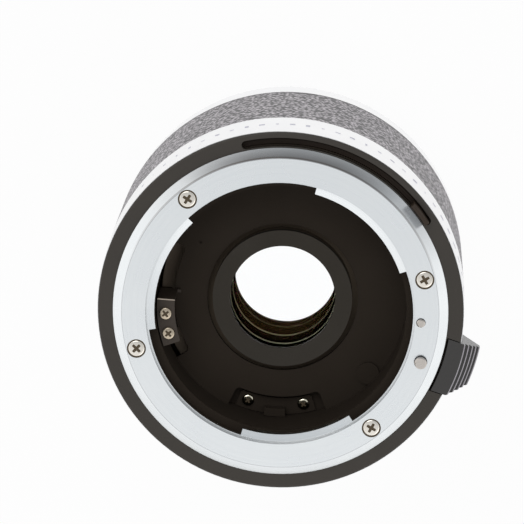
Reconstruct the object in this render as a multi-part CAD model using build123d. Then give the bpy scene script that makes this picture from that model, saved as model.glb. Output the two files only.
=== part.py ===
"""Camera teleconverter: lens mount in front, camera mount behind, glass and couplings between.

Millimetres. Z is the optical axis and +Z points at the lens. The origin is the centre of the
camera mount's flange face. +X points at the lock pin and the release lever, +Y at 12 o'clock.
"""
import os
from math import cos, degrees, radians, sin, sqrt, tan

from build123d import *

# Clearances
seat_gap = 0.02            # between pieces of one body that sit in each other
running_gap = 0.08         # radial, between a turning or sliding piece and its bearing
free_gap = 0.15            # between pieces that pass each other without guiding
cut_overrun = 1.0          # how far a cutting tool runs past what it cuts

# Whole object: every radius follows from the claws, every height from the two flanges
flange_to_flange = 50.0    # camera flange face to lens flange face
claw_radius = 22.4         # inner wall of the lens mount's claws

# Lens mount ring and its claws
claw_depth = 1.18          # how far a claw stands in from the ring
mount_ring_width = 6.2
mount_ring_thickness = 1.7
mount_ring_bevel = 1.62        # width of the slope round the face
mount_ring_edge = 0.33         # upright edge below that slope
face_recess_width = 0.34       # narrow shelf inside the face, level with the claws
face_recess_depth = 1.0
claw_thickness = 1.6
claw_land = 0.44           # straight part of the claw's inner wall
claw_arc_angles = ((38.0, 93.0), (152.4, 206.7), (271.4, 322.0))
mount_screw_inset = 3.43   # screw circle inside the ring's rim
mount_screw_angles = (33.0, 147.0, 213.0, 327.0)
mount_screw_head = 1.46
mount_screw_shank = 0.8
mount_screw_length = 5.0
mount_screw_sink = 0.06    # how far the head lies below the face
screw_mouth_width = 0.24   # open groove round the head
screw_mouth_depth = 0.3

# Cross recess in every screw head, as shares of the head radius
recess_arm_share = 0.62
recess_width_share = 0.26
recess_depth_share = 0.36

# Front collar with its arc slot and lever notch
collar_inset = 0.08        # collar inside the silver bands' radius
collar_seat_width = 1.2    # how far it lies in over the barrel's rim
collar_thickness = 1.2
collar_lip = 0.45          # depth of the rim that lies over the silver band
collar_rounding_share = 0.88
tab_slot_inner_room = 0.3
tab_slot_outer_room = 0.4
tab_slot_start_angle = 50.4
tab_slot_end_angle = 121.6

# Outer sleeves
shell_wall = 0.78
shell_step = 0.22          # the shell is thicker under the leatherette
front_band_length = 11.95
rear_band_length = 6.95
shell_rear_gap = 0.2
band_wall = 0.6
front_band_flare = 0.25    # how much wider the front band is at the leatherette
grip_wall = 0.63
shell_screw_share = 0.3966  # place along the leatherette, from its rear edge
shell_screw_angles = (20.0, 140.0, 260.0)
shell_screw_radius = 0.8
shell_screw_head = 1.3
shell_screw_head_depth = 0.5
shell_screw_bite = 1.2     # thread length in the barrel's wall

# Main barrel
barrel_overhang = 0.42     # barrel outside the mount ring's rim
barrel_wall = 1.8
front_flange_depth = 5.0
lug_space_room = 0.37      # behind the claws, outside the gaps between them
lug_space_depth = 2.5
cup_gap = 0.03
carrier_ledge_width = 2.9
carrier_ledge_depth = 3.0

# Coupling sleeve, tab and rear ridge
sleeve_wall = 0.82
sleeve_room = 0.1          # between the sleeve and the shell
sleeve_front_depth = 10.1  # below the collar's back
full_turn_angle = 360.0
apron_start_angle = 14.0   # raised arc of the sleeve that closes the collar's slot from below
apron_end_angle = 124.0
coupling_travel_angle = 58.0
tab_start_angle = 51.3
tab_end_angle = 59.3
tab_rise = 1.9             # above the collar's face
rear_ring_rear_z = 0.9
rear_ring_thickness = 1.5
rear_ring_inset = 0.3
ridge_inner_inset = 0.32
ridge_outer_inset = 0.4
ridge_rise = 1.7
ridge_start_angle = 22.0
ridge_end_angle = 50.3
coupling_spring_drop = 3.0
coupling_spring_coil = 0.4
coupling_spring_start_angle = 150.0
coupling_spring_end_angle = 330.0
coupling_groove_width = 1.1
coupling_groove_depth = 1.1

# Release lever
lever_low_half = 4.7       # from its middle to its side towards 6 o'clock
lever_high_half = 5.2      # and towards 12 o'clock
lever_depth = 7.2
lever_step_reaches = (0.8, 1.6, 2.4, 3.1, 3.8)  # outside the silver bands
lever_step_drop = 1.35
lever_edge = 0.16          # small bevel on each step's edge
lever_low_taper_angle = 25.5
lever_high_taper_angle = 15.0
lever_skirt_wall = 0.45
lever_skirt_length = 3.1
release_travel = 1.8

# Lock plate and pins
lock_plate_thickness = 1.0
lock_plate_depth = 3.4     # its front face below the lens flange face
lock_plate_inner_room = 0.1
lock_plate_outer_room = 1.0
lock_plate_start_angle = -8.0
lock_plate_end_angle = 20.0
lock_plate_gap_angle = 1.5
tongue_width = 6.4
tongue_inset = 0.6         # its end inside the silver bands' radius
lock_pin_radius = 1.1
lock_pin_rise = 1.0
lock_pin_chamfer = 0.2
guide_pin_inset = 1.39     # its circle outside the claw gaps
guide_pin_angle = 15.74
guide_pin_radius = 0.76
guide_pin_rise = 0.6
pin_stub_radius = 0.5
lever_pin_radius = 0.45
lever_pin_room = 0.68      # its circle outside the barrel
lever_pin_spacing = 3.6
release_spring_outer = 1.4
release_spring_inner = 1.05
release_spring_length = 6.3
release_spring_boss = 2.3
release_spring_floor = 0.6

# Bayonet leaf springs
leaf_thickness = 0.22
leaf_inner_room = 0.35
leaf_outer_room = 0.2
leaf_rise = 0.55
leaf_margin_angle = 6.0    # inside each end of its claw
leaf_foot = 2.4            # length of the flat foot at each end

# Front baffle: a cup with an arc channel, a lower tray, a round boss and a dimple
baffle_wall = 0.6
baffle_depth = 13.1        # its floor below the lens flange face
baffle_floor = 0.8
baffle_hole_room = 1.0
channel_width = 2.87
channel_start_angle = 171.0
channel_end_angle = 229.5
channel_corner = 0.9
tray_width = 3.82
tray_start_angle = 262.5
tray_end_angle = 309.5
tray_depth = 1.9
tray_corner = 0.9
boss_inset = 1.55
boss_angle = 336.76
boss_radius = 2.05
boss_rise = 0.5
dimple_inset = 4.52
dimple_angle = 164.3
dimple_radius = 0.3
dimple_depth = 0.25

# Index bracket in the tray
index_plate_inset = 0.6
index_plate_start_angle = 266.0
index_plate_end_angle = 304.5
index_plate_thickness = 0.6
index_screw_inset = 1.87
index_screw_angles = (270.9, 299.4)
index_block_width = 1.62
index_block_start_angle = 280.0
index_block_end_angle = 290.0
index_block_rise = 1.8
index_corner = 0.5
small_screw_head = 1.1
small_screw_head_depth = 0.5
small_screw_shank = 0.5

# Stop-down ring, arm, plate and finger
stop_ring_inset = 0.4
stop_ring_drop = 0.6       # below the tray's underside
stop_ring_thickness = 1.2
stop_down_travel_angle = 20.0
retainer_thickness = 0.4
retainer_width = 1.1
retainer_groove = 0.4
arm_inset = 0.3
arm_wall = 0.9
arm_start_angle = 196.0
arm_end_angle = 217.2
arm_foot_reach = 1.8
arm_shelf_thickness = 1.2
arm_shelf_reach = 2.8
stop_plate_depth = 4.5     # its front face below the lens flange face
stop_plate_thickness = 0.6
stop_plate_inset = 0.25
stop_plate_width = 3.15
stop_plate_start_angle = 194.4
stop_plate_end_angle = 217.6
stop_plate_wall_angle = 1.6  # what the bent wall takes
stop_plate_clearance = 0.12
stop_plate_nub = 0.6
stop_plate_corner = 0.35
stop_screw_inset = 1.5
stop_screw_angles = (201.7, 211.9)
finger_inset = 2.1
finger_width = 1.5
finger_angle = 206.0
finger_turn_angle = 5.0
finger_reach = 3.5         # behind the camera flange face
finger_foot_depth = 0.8
finger_foot_margin_angle = 3.0

# Lens barrel and what it carries
journal_inset = 3.4        # inside the finger
journal_rise = 1.0         # above the stop-down ring
shoulder_step = 1.2
nose_lead = 0.6
spring_space = 3.6
carrier_thickness = 2.0
lens_barrel_wall = 3.4
glass_stop_width = 0.9
glass_stop_height = 1.4
bore_step = 1.0            # wider bore for the rear glass, and the nose's wall
carrier_screw_inset = 1.4
carrier_screw_angles = (90.0, 210.0, 330.0)
carrier_screw_radius = 0.8
carrier_screw_head = 1.35
carrier_screw_head_depth = 0.8
spring_wall = 0.8
spring_end_gap = 0.1

# Optical stack: shares of the length between the front ring and the glass stop
front_ring_drop = 0.9      # its seat below the baffle's floor
front_ring_rise = 1.9
front_ring_width = 2.1
front_ring_dish = 0.9
front_doublet_share = 0.177
spacer_front_share = 0.0708
middle_glass_share = 0.177
spacer_middle_share = 0.0885
rear_doublet_share = 0.177
spacer_rear_share = 0.0796
doublet_split_share = 0.0973
spacer_width = 2.0
spacer_lip = 0.5
glass_edge_gap = 0.05
front_glass_sag = 0.2
middle_glass_sag = 0.5
rear_glass_sag = 0.3
rear_ring_height = 2.0
rear_ring_width = 1.4
rear_ring_lead = 0.3
rear_glass_thickness = 4.1

# Rear frame, rear baffle and camera mount
frame_plate_thickness = 2.8
frame_spigot_wall = 3.4
frame_spigot_length = 3.5
frame_screw_rise = 1.9
frame_screw_angles = (60.0, 180.0, 300.0)
frame_screw_radius = 0.6
rear_baffle_thickness = 0.8
rear_baffle_lip = 0.4
rear_baffle_room = 1.5     # from the frame plate to the lens barrel
rear_baffle_screw_inset = 1.4
rear_baffle_screw_angles = (30.0, 150.0, 270.0)
camera_flange_thickness = 1.7
camera_flange_bevel = 0.4
spigot_gap = 0.2           # spigot and lugs inside what they slide in
spigot_wall = 1.3
spigot_length = 3.9
spigot_edge = 0.3
lug_front_gap = 0.1        # between a lug and the claw it slides behind
lug_thickness = 1.35
lug_trim_angle = 1.3
camera_screw_inset = 3.68
camera_screw_angles = (45.0, 135.0, 225.0, 315.0)
camera_screw_length = 4.0
lock_notch_width = 2.5
lock_notch_stretch = 0.1
lock_notch_depth = 1.3

# Radii that follow, from the claws outwards
claw_gap_radius = claw_radius + claw_depth
mount_ring_radius = claw_gap_radius + mount_ring_width
mount_screw_circle = mount_ring_radius - mount_screw_inset
barrel_radius = mount_ring_radius + barrel_overhang
barrel_bore = barrel_radius - barrel_wall
collar_inner_radius = barrel_radius - collar_seat_width
sleeve_inner = barrel_radius + running_gap
sleeve_outer = sleeve_inner + sleeve_wall
shell_inner_radius = sleeve_outer + sleeve_room
shell_under_band = shell_inner_radius + shell_wall
shell_under_grip = shell_under_band + shell_step
body_radius = shell_under_band + seat_gap + band_wall
grip_radius = shell_under_grip + seat_gap + grip_wall
collar_radius = body_radius - collar_inset
tab_slot_inner = sleeve_inner - tab_slot_inner_room
tab_slot_outer = sleeve_outer + tab_slot_outer_room
rear_ring_radius = body_radius - rear_ring_inset
ridge_inner = sleeve_inner + ridge_inner_inset
ridge_outer = rear_ring_radius - ridge_outer_inset
lever_step_radii = [body_radius + reach for reach in lever_step_reaches]
skirt_outer = shell_under_band - free_gap
lug_space_radius = claw_gap_radius + lug_space_room
lock_plate_inner = lug_space_radius + lock_plate_inner_room
lock_plate_outer = collar_inner_radius - lock_plate_outer_room
tongue_reach = body_radius - tongue_inset
lock_pin_circle = mount_screw_circle
guide_pin_circle = claw_gap_radius + guide_pin_inset
lever_pin_circle = barrel_radius + lever_pin_room
leaf_inner = claw_radius + leaf_inner_room
leaf_outer = lug_space_radius - leaf_outer_room
carrier_ledge_radius = barrel_bore - carrier_ledge_width
carrier_screw_circle = barrel_bore - carrier_screw_inset
frame_spigot_inner = barrel_bore - frame_spigot_wall
rear_baffle_screw_circle = frame_spigot_inner - rear_baffle_screw_inset
camera_flange_radius = mount_ring_radius
camera_screw_circle = camera_flange_radius - camera_screw_inset
spigot_radius = claw_radius - spigot_gap
lug_radius = claw_gap_radius - spigot_gap
frame_plate_bore = spigot_radius - spigot_wall

# Radii that follow, from the claws inwards
baffle_cup_radius = claw_radius + seat_gap
baffle_outer = baffle_cup_radius + baffle_wall
cup_bore = baffle_outer + cup_gap
channel_inner = baffle_cup_radius - channel_width
tray_inner = baffle_cup_radius - tray_width
boss_circle = baffle_cup_radius - boss_inset
dimple_circle = baffle_cup_radius - dimple_inset
index_plate_inner = tray_inner + index_plate_inset
index_screw_circle = baffle_cup_radius - index_screw_inset
index_block_inner = baffle_cup_radius - index_block_width
stop_ring_radius = claw_radius - stop_ring_inset
arm_outer = claw_radius - arm_inset
arm_shelf_inner = arm_outer - arm_shelf_reach
stop_plate_outer = claw_radius - stop_plate_inset
stop_plate_inner = stop_plate_outer - stop_plate_width
stop_screw_circle = stop_plate_outer - stop_screw_inset
finger_outer = stop_ring_radius - finger_inset
finger_inner = finger_outer - finger_width
journal_radius = finger_inner - journal_inset
shoulder_radius = journal_radius + shoulder_step
glass_bore = journal_radius - lens_barrel_wall
rear_glass_bore = glass_bore + bore_step
barrel_nose_radius = glass_bore + bore_step
front_ring_radius = barrel_nose_radius
front_ring_opening = glass_bore - front_ring_width
baffle_hole = front_ring_radius + baffle_hole_room
spacer_opening = glass_bore - spacer_width
glass_stop_radius = glass_bore - glass_stop_height
rear_ring_opening = rear_glass_bore - rear_ring_width
rear_baffle_bore = rear_glass_bore - rear_baffle_lip

# Heights that follow from the camera flange
barrel_rear_z = camera_flange_thickness + frame_plate_thickness
rear_ring_front_z = rear_ring_rear_z + rear_ring_thickness
rear_band_z = rear_ring_front_z + shell_rear_gap
grip_rear_z = rear_band_z + rear_band_length
frame_screw_z = barrel_rear_z + frame_screw_rise
lens_barrel_rear_z = barrel_rear_z + rear_baffle_room
rear_glass_low_z = lens_barrel_rear_z + rear_ring_lead + rear_ring_height + glass_edge_gap
glass_stop_z = rear_glass_low_z + rear_glass_thickness + glass_edge_gap
finger_rear_z = -finger_reach
lug_front_z = -(claw_thickness + lug_front_gap)

# Heights that follow from the lens flange
lens_face_z = flange_to_flange
seat_z = lens_face_z - mount_ring_thickness
claw_back_z = lens_face_z - claw_thickness
collar_back_z = seat_z - collar_thickness
band_front_z = seat_z - collar_lip
grip_front_z = band_front_z - front_band_length
flange_back_z = seat_z - front_flange_depth
lug_floor_z = seat_z - lug_space_depth
sleeve_front_z = collar_back_z - sleeve_front_depth
apron_front_z = collar_back_z - free_gap
coupling_spring_z = sleeve_front_z - coupling_spring_drop
shell_screw_z = grip_rear_z + (grip_front_z - grip_rear_z) * shell_screw_share
lock_plate_front_z = lens_face_z - lock_plate_depth
lock_plate_back_z = lock_plate_front_z - lock_plate_thickness
lock_pocket_z = lock_plate_back_z - release_travel - free_gap
release_spring_z = lock_plate_back_z - release_spring_length
lever_back_z = seat_z - lever_depth
skirt_back_z = lever_back_z - lever_skirt_length
baffle_floor_z = lens_face_z - baffle_depth
baffle_back_z = baffle_floor_z - baffle_floor
tray_floor_z = baffle_floor_z - tray_depth
tray_back_z = tray_floor_z - baffle_wall
stop_ring_front_z = tray_back_z - stop_ring_drop
stop_ring_back_z = stop_ring_front_z - stop_ring_thickness
journal_front_z = stop_ring_front_z + journal_rise
carrier_front_z = stop_ring_back_z - spring_space
carrier_back_z = carrier_front_z - carrier_thickness
stop_plate_z = lens_face_z - stop_plate_depth
stop_plate_back_z = stop_plate_z - stop_plate_thickness
front_ring_z = baffle_floor_z - front_ring_drop
nose_front_z = front_ring_z + nose_lead

# Optical stack, front to rear
stack_length = front_ring_z - glass_stop_z - glass_stop_width
doublet_split = stack_length * doublet_split_share
spacer_front_top = front_ring_z - stack_length * front_doublet_share
spacer_front_height = stack_length * spacer_front_share
spacer_middle_top = spacer_front_top - spacer_front_height - stack_length * middle_glass_share
spacer_middle_height = stack_length * spacer_middle_share
spacer_rear_top = spacer_middle_top - spacer_middle_height - stack_length * rear_doublet_share
spacer_rear_height = stack_length * spacer_rear_share


def at(radius, angle):
    """Point on a circle about the optical axis."""
    return (radius * cos(radians(angle)), radius * sin(radians(angle)))


def between(shape_face, low_z, high_z):
    """A flat face given height from low_z to high_z."""
    return Pos(0, 0, low_z) * extrude(shape_face, amount=high_z - low_z)


def disc(radius, low_z, high_z, place=(0, 0)):
    return between(Pos(place[0], place[1]) * Circle(radius), low_z, high_z)


def tube(inner, outer, low_z, high_z):
    return between(Circle(outer) - Circle(inner), low_z, high_z)


def arc_face(inner, outer, start, end):
    """Part of a flat ring between two angles."""
    middle = (start + end) / 2
    a, b = at(inner, start), at(outer, start)
    c, d = at(outer, end), at(inner, end)
    outline = Line(a, b) + ThreePointArc(b, at(outer, middle), c)
    outline += Line(c, d) + ThreePointArc(d, at(inner, middle), a)
    return make_face(outline)


def arc_block(inner, outer, start, end, low_z, high_z):
    return between(arc_face(inner, outer, start, end), low_z, high_z)


def arc_block_rounded(inner, outer, start, end, low_z, high_z, corner):
    """The same with its two corners at the inner radius rounded."""
    solid = arc_block(inner, outer, start, end, low_z, high_z)
    inside = (inner + outer) / 2
    upright = [edge for edge in solid.edges().filter_by(Axis.Z) if flat_radius(edge.center()) < inside]
    return fillet(upright, corner)


def flat_radius(place):
    """Distance of a point from the optical axis."""
    return sqrt(place.X * place.X + place.Y * place.Y)


def turn_for(length, radius):
    """Angle in degrees that a length takes on a circle."""
    return degrees(length / radius)


def arc_slot(inner, outer, start, end, low_z, high_z):
    """Cutter for an arc slot with round ends that reach the two angles."""
    middle_radius = (inner + outer) / 2
    width = outer - inner
    end_turn = turn_for(width / 2, middle_radius)
    first, last = start + end_turn, end - end_turn
    middle = (first + last) / 2
    path = ThreePointArc(at(middle_radius, first), at(middle_radius, middle), at(middle_radius, last))
    return between(SlotArc(path, width), low_z, high_z)


def turned(points):
    """Solid of revolution from radius and height pairs."""
    outline = Polyline(*[(radius, 0, height) for radius, height in points], close=True)
    return revolve(make_face(outline), axis=Axis.Z, revolution_arc=full_turn_angle)


def block(x0, x1, y0, y1, z0, z1):
    return Pos((x0 + x1) / 2, (y0 + y1) / 2, (z0 + z1) / 2) * Box(x1 - x0, y1 - y0, z1 - z0)


def cross_recess(head_radius, top_z):
    """Cutter for a cross recess whose mouth is at top_z."""
    arm = head_radius * recess_arm_share
    half_width = head_radius * recess_width_share / 2
    low_z = top_z - head_radius * recess_depth_share
    high_z = top_z + head_radius
    bar = block(-arm, arm, -half_width, half_width, low_z, high_z)
    return bar + Rot(0, 0, 90) * bar


def sunk_screw(head, shank, length):
    """Countersunk screw with its head's face at height zero."""
    body = turned([(0, 0), (head, 0), (shank, shank - head), (shank, -length), (0, -length)])
    return body - cross_recess(head, 0)


def sunk_screw_cutter(length):
    """Countersunk hole for a mount screw, with an open groove round the head."""
    mouth = mount_screw_head + screw_mouth_width
    floor = mount_screw_sink + screw_mouth_depth
    cone = mount_screw_head + seat_gap - screw_mouth_depth
    shank = mount_screw_shank + seat_gap
    return turned([(0, cut_overrun), (mouth, cut_overrun), (mouth, -floor), (cone, -floor),
                   (shank, shank - cone - floor), (shank, -length), (0, -length)])


def flat_screw(head, head_depth, shank, length):
    """Cheese-head screw that stands on height zero, its shank below."""
    edge = head_depth / 4
    body = turned([(0, head_depth), (head - edge, head_depth), (head, head_depth - edge), (head, 0),
                   (shank, 0), (shank, -length), (0, -length)])
    return body - cross_recess(head, head_depth)


def placed(shape, radius, angle, height):
    """A shape moved out from the axis to an angle and turned with it."""
    x, y = at(radius, angle)
    return Pos(x, y, height) * Rot(0, 0, angle) * shape


def around(shape, radius, angles, height):
    return [placed(shape, radius, angle, height) for angle in angles]


def cut_all(body, cutters):
    for cutter in cutters:
        body -= cutter
    return body


def pin_places():
    """Centre and hole radius of the lock pin and the guide pin."""
    lock = (at(lock_pin_circle, 0), lock_pin_radius + running_gap)
    guide = (at(guide_pin_circle, guide_pin_angle), guide_pin_radius + running_gap)
    return (lock, guide)


def pin_holes(low_z, high_z):
    return [disc(radius, low_z, high_z, place) for place, radius in pin_places()]


def lens_mount_ring():
    inner = claw_gap_radius
    face_inner = inner + face_recess_width
    shelf_z = lens_face_z - face_recess_depth
    ring = turned([(inner, seat_z), (mount_ring_radius, seat_z), (mount_ring_radius, seat_z + mount_ring_edge),
                   (mount_ring_radius - mount_ring_bevel, lens_face_z), (face_inner, lens_face_z),
                   (face_inner, shelf_z), (inner, shelf_z)])
    claw_wall_top = claw_back_z + claw_land
    full_claw = turned([(claw_radius, claw_back_z), (inner + seat_gap, claw_back_z),
                        (inner + seat_gap, shelf_z), (inner, shelf_z), (claw_radius, claw_wall_top)])
    for start, end in claw_arc_angles:
        wedge = arc_block(claw_radius - cut_overrun, inner + cut_overrun, start, end, seat_z, lens_face_z)
        ring += full_claw & wedge
    cutter = sunk_screw_cutter(mount_screw_length)
    ring = cut_all(ring, around(cutter, mount_screw_circle, mount_screw_angles, lens_face_z))
    return cut_all(ring, pin_holes(seat_z - cut_overrun, lens_face_z + cut_overrun))


def lens_mount_screws():
    screw = sunk_screw(mount_screw_head, mount_screw_shank, mount_screw_length)
    return around(screw, mount_screw_circle, mount_screw_angles, lens_face_z - mount_screw_sink)


def leaf_edge(half_length, height):
    """Side view of a leaf spring's lower or upper face: flat feet, left long, and a low arch."""
    bend = half_length - leaf_foot
    end = half_length + cut_overrun
    points = (-end, 0, height), (-bend, 0, height), (bend, 0, height), (end, 0, height)
    arch = ThreePointArc(points[1], (0, 0, height + leaf_rise), points[2])
    return points, Line(points[0], points[1]) + arch + Line(points[2], points[3])


def bayonet_springs():
    """Three leaf springs behind the claws, flat at both ends and raised between."""
    springs = []
    for start, end in claw_arc_angles:
        first, last = start + leaf_margin_angle, end - leaf_margin_angle
        half_length = leaf_outer * sin(radians((last - first) / 2))
        low_points, low_edge = leaf_edge(half_length, 0)
        high_points, high_edge = leaf_edge(half_length, leaf_thickness)
        side = low_edge + Line(low_points[-1], high_points[-1]) + high_edge + Line(high_points[0],
                                                                                   low_points[0])
        strip = extrude(make_face(side), amount=leaf_outer, dir=(0, 1, 0))
        strip = Pos(0, 0, lug_floor_z) * Rot(0, 0, (first + last) / 2 - 90) * strip
        top = lug_floor_z + leaf_thickness + leaf_rise + cut_overrun
        springs.append(strip & arc_block(leaf_inner, leaf_outer, first, last, lug_floor_z - cut_overrun, top))
    return springs


def lever_notch(low_z, high_z):
    """Cutter that gives the lever its way through collar, band and shell."""
    low = lever_low_half + free_gap
    high = lever_high_half + free_gap
    inner = sqrt(barrel_radius * barrel_radius - high * high) - free_gap
    return block(inner, body_radius + cut_overrun, -low, high, low_z, high_z)


def is_front_rim(edge):
    """Whether a round edge of the collar is its outer one in front."""
    return abs(edge.radius - collar_radius) < seat_gap and edge.center().Z > band_front_z + seat_gap


def front_collar():
    lip_inner = shell_under_band
    plate = turned([(collar_inner_radius, collar_back_z), (lip_inner, collar_back_z),
                    (lip_inner, band_front_z), (collar_radius, band_front_z), (collar_radius, seat_z),
                    (collar_inner_radius, seat_z)])
    rim = plate.edges().filter_by(GeomType.CIRCLE).filter_by(is_front_rim)
    plate = fillet(rim, (collar_lip - seat_gap) * collar_rounding_share)
    plate -= arc_slot(tab_slot_inner, tab_slot_outer, tab_slot_start_angle, tab_slot_end_angle,
                      collar_back_z - cut_overrun, seat_z + cut_overrun)
    return plate - lever_notch(collar_back_z - cut_overrun, seat_z + cut_overrun)


def front_band():
    inner = shell_under_band + seat_gap
    band = turned([(inner, grip_front_z), (body_radius + front_band_flare, grip_front_z),
                   (body_radius, band_front_z), (inner, band_front_z)])
    notch_floor = lever_back_z - release_travel - free_gap
    return band - lever_notch(notch_floor, band_front_z + cut_overrun)


def grip_leather():
    return tube(shell_under_grip + seat_gap, grip_radius, grip_rear_z, grip_front_z)


def rear_band():
    return tube(shell_under_band + seat_gap, body_radius, rear_band_z, grip_rear_z)


def radial_screw_cutter(radius, head, inner, outer, head_floor):
    """Cutter along +X for a radial screw: shank from inner to outer, head outside head_floor."""
    shank = Cylinder(radius, outer - inner + cut_overrun, align=(Align.CENTER, Align.CENTER, Align.MIN))
    top = Cylinder(head, outer - head_floor + cut_overrun, align=(Align.CENTER, Align.CENTER, Align.MIN))
    turn = Rot(0, 90, 0)
    return Pos(inner, 0, 0) * turn * shank + Pos(head_floor, 0, 0) * turn * top


def radial_screw(radius, head, inner, outer, head_floor):
    shank = Cylinder(radius, head_floor - inner, align=(Align.CENTER, Align.CENTER, Align.MIN))
    top = Cylinder(head, outer - head_floor, align=(Align.CENTER, Align.CENTER, Align.MIN))
    turn = Rot(0, 90, 0)
    slot = cross_recess(head, 0)
    body = Pos(inner, 0, 0) * turn * shank + Pos(head_floor, 0, 0) * turn * top
    return body - Pos(outer, 0, 0) * turn * slot


def turned_to(shape, angles, height):
    return [Pos(0, 0, height) * Rot(0, 0, angle) * shape for angle in angles]


def shell_screw_top():
    return shell_under_grip - seat_gap


def outer_shell():
    shell = turned([(shell_inner_radius, rear_band_z), (shell_under_band, rear_band_z),
                    (shell_under_band, grip_rear_z), (shell_under_grip, grip_rear_z),
                    (shell_under_grip, grip_front_z), (shell_under_band, grip_front_z),
                    (shell_under_band, collar_back_z), (shell_inner_radius, collar_back_z)])
    notch_floor = skirt_back_z - release_travel - free_gap
    shell -= lever_notch(notch_floor, collar_back_z + cut_overrun)
    cutter = radial_screw_cutter(shell_screw_radius + seat_gap, shell_screw_head + seat_gap, barrel_radius,
                                 shell_under_grip, shell_screw_top() - shell_screw_head_depth)
    return cut_all(shell, turned_to(cutter, shell_screw_angles, shell_screw_z))


def shell_screws():
    screw = radial_screw(shell_screw_radius, shell_screw_head, barrel_radius - shell_screw_bite,
                         shell_screw_top(), shell_screw_top() - shell_screw_head_depth)
    return turned_to(screw, shell_screw_angles, shell_screw_z)


def lock_pocket():
    """Space in the front flange where the lock plate and its tongue travel."""
    top = lock_plate_front_z + free_gap
    start = lock_plate_start_angle - lock_plate_gap_angle
    end = lock_plate_end_angle + lock_plate_gap_angle
    pocket = arc_block(cup_bore - cut_overrun, lock_plate_outer + free_gap, start, end, lock_pocket_z, top)
    half = tongue_width / 2 + free_gap
    return pocket + block(lock_plate_outer - cut_overrun, barrel_radius + cut_overrun, -half, half,
                          lock_pocket_z, top)


def main_barrel():
    step = collar_inner_radius - seat_gap
    ledge_top = carrier_front_z + carrier_ledge_depth
    barrel = turned([(lug_space_radius, seat_z), (step, seat_z), (step, collar_back_z),
                     (barrel_radius, collar_back_z), (barrel_radius, barrel_rear_z),
                     (barrel_bore, barrel_rear_z), (barrel_bore, carrier_front_z),
                     (carrier_ledge_radius, carrier_front_z), (carrier_ledge_radius, ledge_top),
                     (barrel_bore, ledge_top), (barrel_bore, flange_back_z), (cup_bore, flange_back_z),
                     (cup_bore, lug_floor_z - baffle_wall), (lug_space_radius, lug_floor_z - baffle_wall)])
    spring_place = at(lock_pin_circle, 0)
    barrel += disc(release_spring_boss, release_spring_z - release_spring_floor, lock_pocket_z, spring_place)
    barrel -= lock_pocket()
    barrel -= disc(release_spring_outer + free_gap, release_spring_z, lock_pocket_z + cut_overrun,
                   spring_place)
    barrel = cut_all(barrel, pin_holes(lock_plate_front_z, seat_z + cut_overrun))
    shank = disc(mount_screw_shank + seat_gap, lens_face_z - mount_screw_length - mount_screw_sink - seat_gap,
                 seat_z + cut_overrun, (mount_screw_circle, 0))
    barrel = cut_all(barrel, turned_to(shank, mount_screw_angles, 0))
    thread = disc(carrier_screw_radius + seat_gap, carrier_front_z - cut_overrun, ledge_top + cut_overrun,
                  (carrier_screw_circle, 0))
    barrel = cut_all(barrel, turned_to(thread, carrier_screw_angles, 0))
    side = radial_screw_cutter(shell_screw_radius + seat_gap, shell_screw_radius + seat_gap,
                               barrel_bore - cut_overrun, barrel_radius, barrel_radius)
    barrel = cut_all(barrel, turned_to(side, shell_screw_angles, shell_screw_z))
    side = radial_screw_cutter(frame_screw_radius + seat_gap, frame_screw_radius + seat_gap,
                               barrel_bore - cut_overrun, barrel_radius, barrel_radius)
    barrel = cut_all(barrel, turned_to(side, frame_screw_angles, frame_screw_z))
    return barrel - coupling_groove()


def coupling_groove():
    half = coupling_groove_width / 2
    return arc_block(barrel_radius - coupling_groove_depth, barrel_radius + free_gap,
                     coupling_spring_start_angle, coupling_spring_end_angle, coupling_spring_z - half,
                     coupling_spring_z + half)


def coupling_spring():
    """Thin coil that lies along the groove in the barrel, as one bent rod."""
    centre = barrel_radius - coupling_groove_depth + coupling_spring_coil + seat_gap
    section = Pos(centre, 0, coupling_spring_z) * Rot(90, 0, 0) * Circle(coupling_spring_coil)
    end_turn = turn_for(seat_gap, barrel_radius)
    turn = coupling_spring_end_angle - coupling_spring_start_angle - 2 * end_turn
    return Rot(0, 0, coupling_spring_start_angle + end_turn) * revolve(section, axis=Axis.Z,
                                                                       revolution_arc=turn)


def coupling_sleeve():
    sleeve = tube(sleeve_inner, sleeve_outer, rear_ring_front_z, apron_front_z)
    sleeve -= arc_block(sleeve_inner - free_gap, sleeve_outer + free_gap, apron_end_angle,
                        apron_start_angle + full_turn_angle, sleeve_front_z, apron_front_z + cut_overrun)
    window = shell_screw_radius + free_gap
    margin = turn_for(window, sleeve_inner)
    for angle in shell_screw_angles:
        sleeve -= arc_block(sleeve_inner - free_gap, sleeve_outer + free_gap, angle - coupling_travel_angle
                            - margin, angle + margin, shell_screw_z - window, shell_screw_z + window)
    return sleeve


def coupling_tab():
    return arc_block(sleeve_inner, sleeve_outer, tab_start_angle, tab_end_angle, apron_front_z,
                     seat_z + tab_rise)


def rear_coupling_ring():
    ring = tube(sleeve_inner, rear_ring_radius, rear_ring_rear_z, rear_ring_front_z)
    ridge_z = rear_ring_rear_z - ridge_rise
    return ring + arc_block(ridge_inner, ridge_outer, ridge_start_angle, ridge_end_angle, ridge_z,
                            rear_ring_rear_z + seat_gap)


def lever_plan():
    """Outline of the lever seen from the front: straight in its notch, tapered outside."""
    outer = lever_step_radii[-1] + cut_overrun
    low = lever_low_half - (outer - body_radius) * tan(radians(lever_low_taper_angle))
    high = lever_high_half - (outer - body_radius) * tan(radians(lever_high_taper_angle))
    inner = barrel_radius - cut_overrun
    corners = [(inner, -lever_low_half), (body_radius, -lever_low_half), (outer, -low), (outer, high),
               (body_radius, lever_high_half), (inner, lever_high_half)]
    return make_face(Polyline(*corners, close=True))


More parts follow.
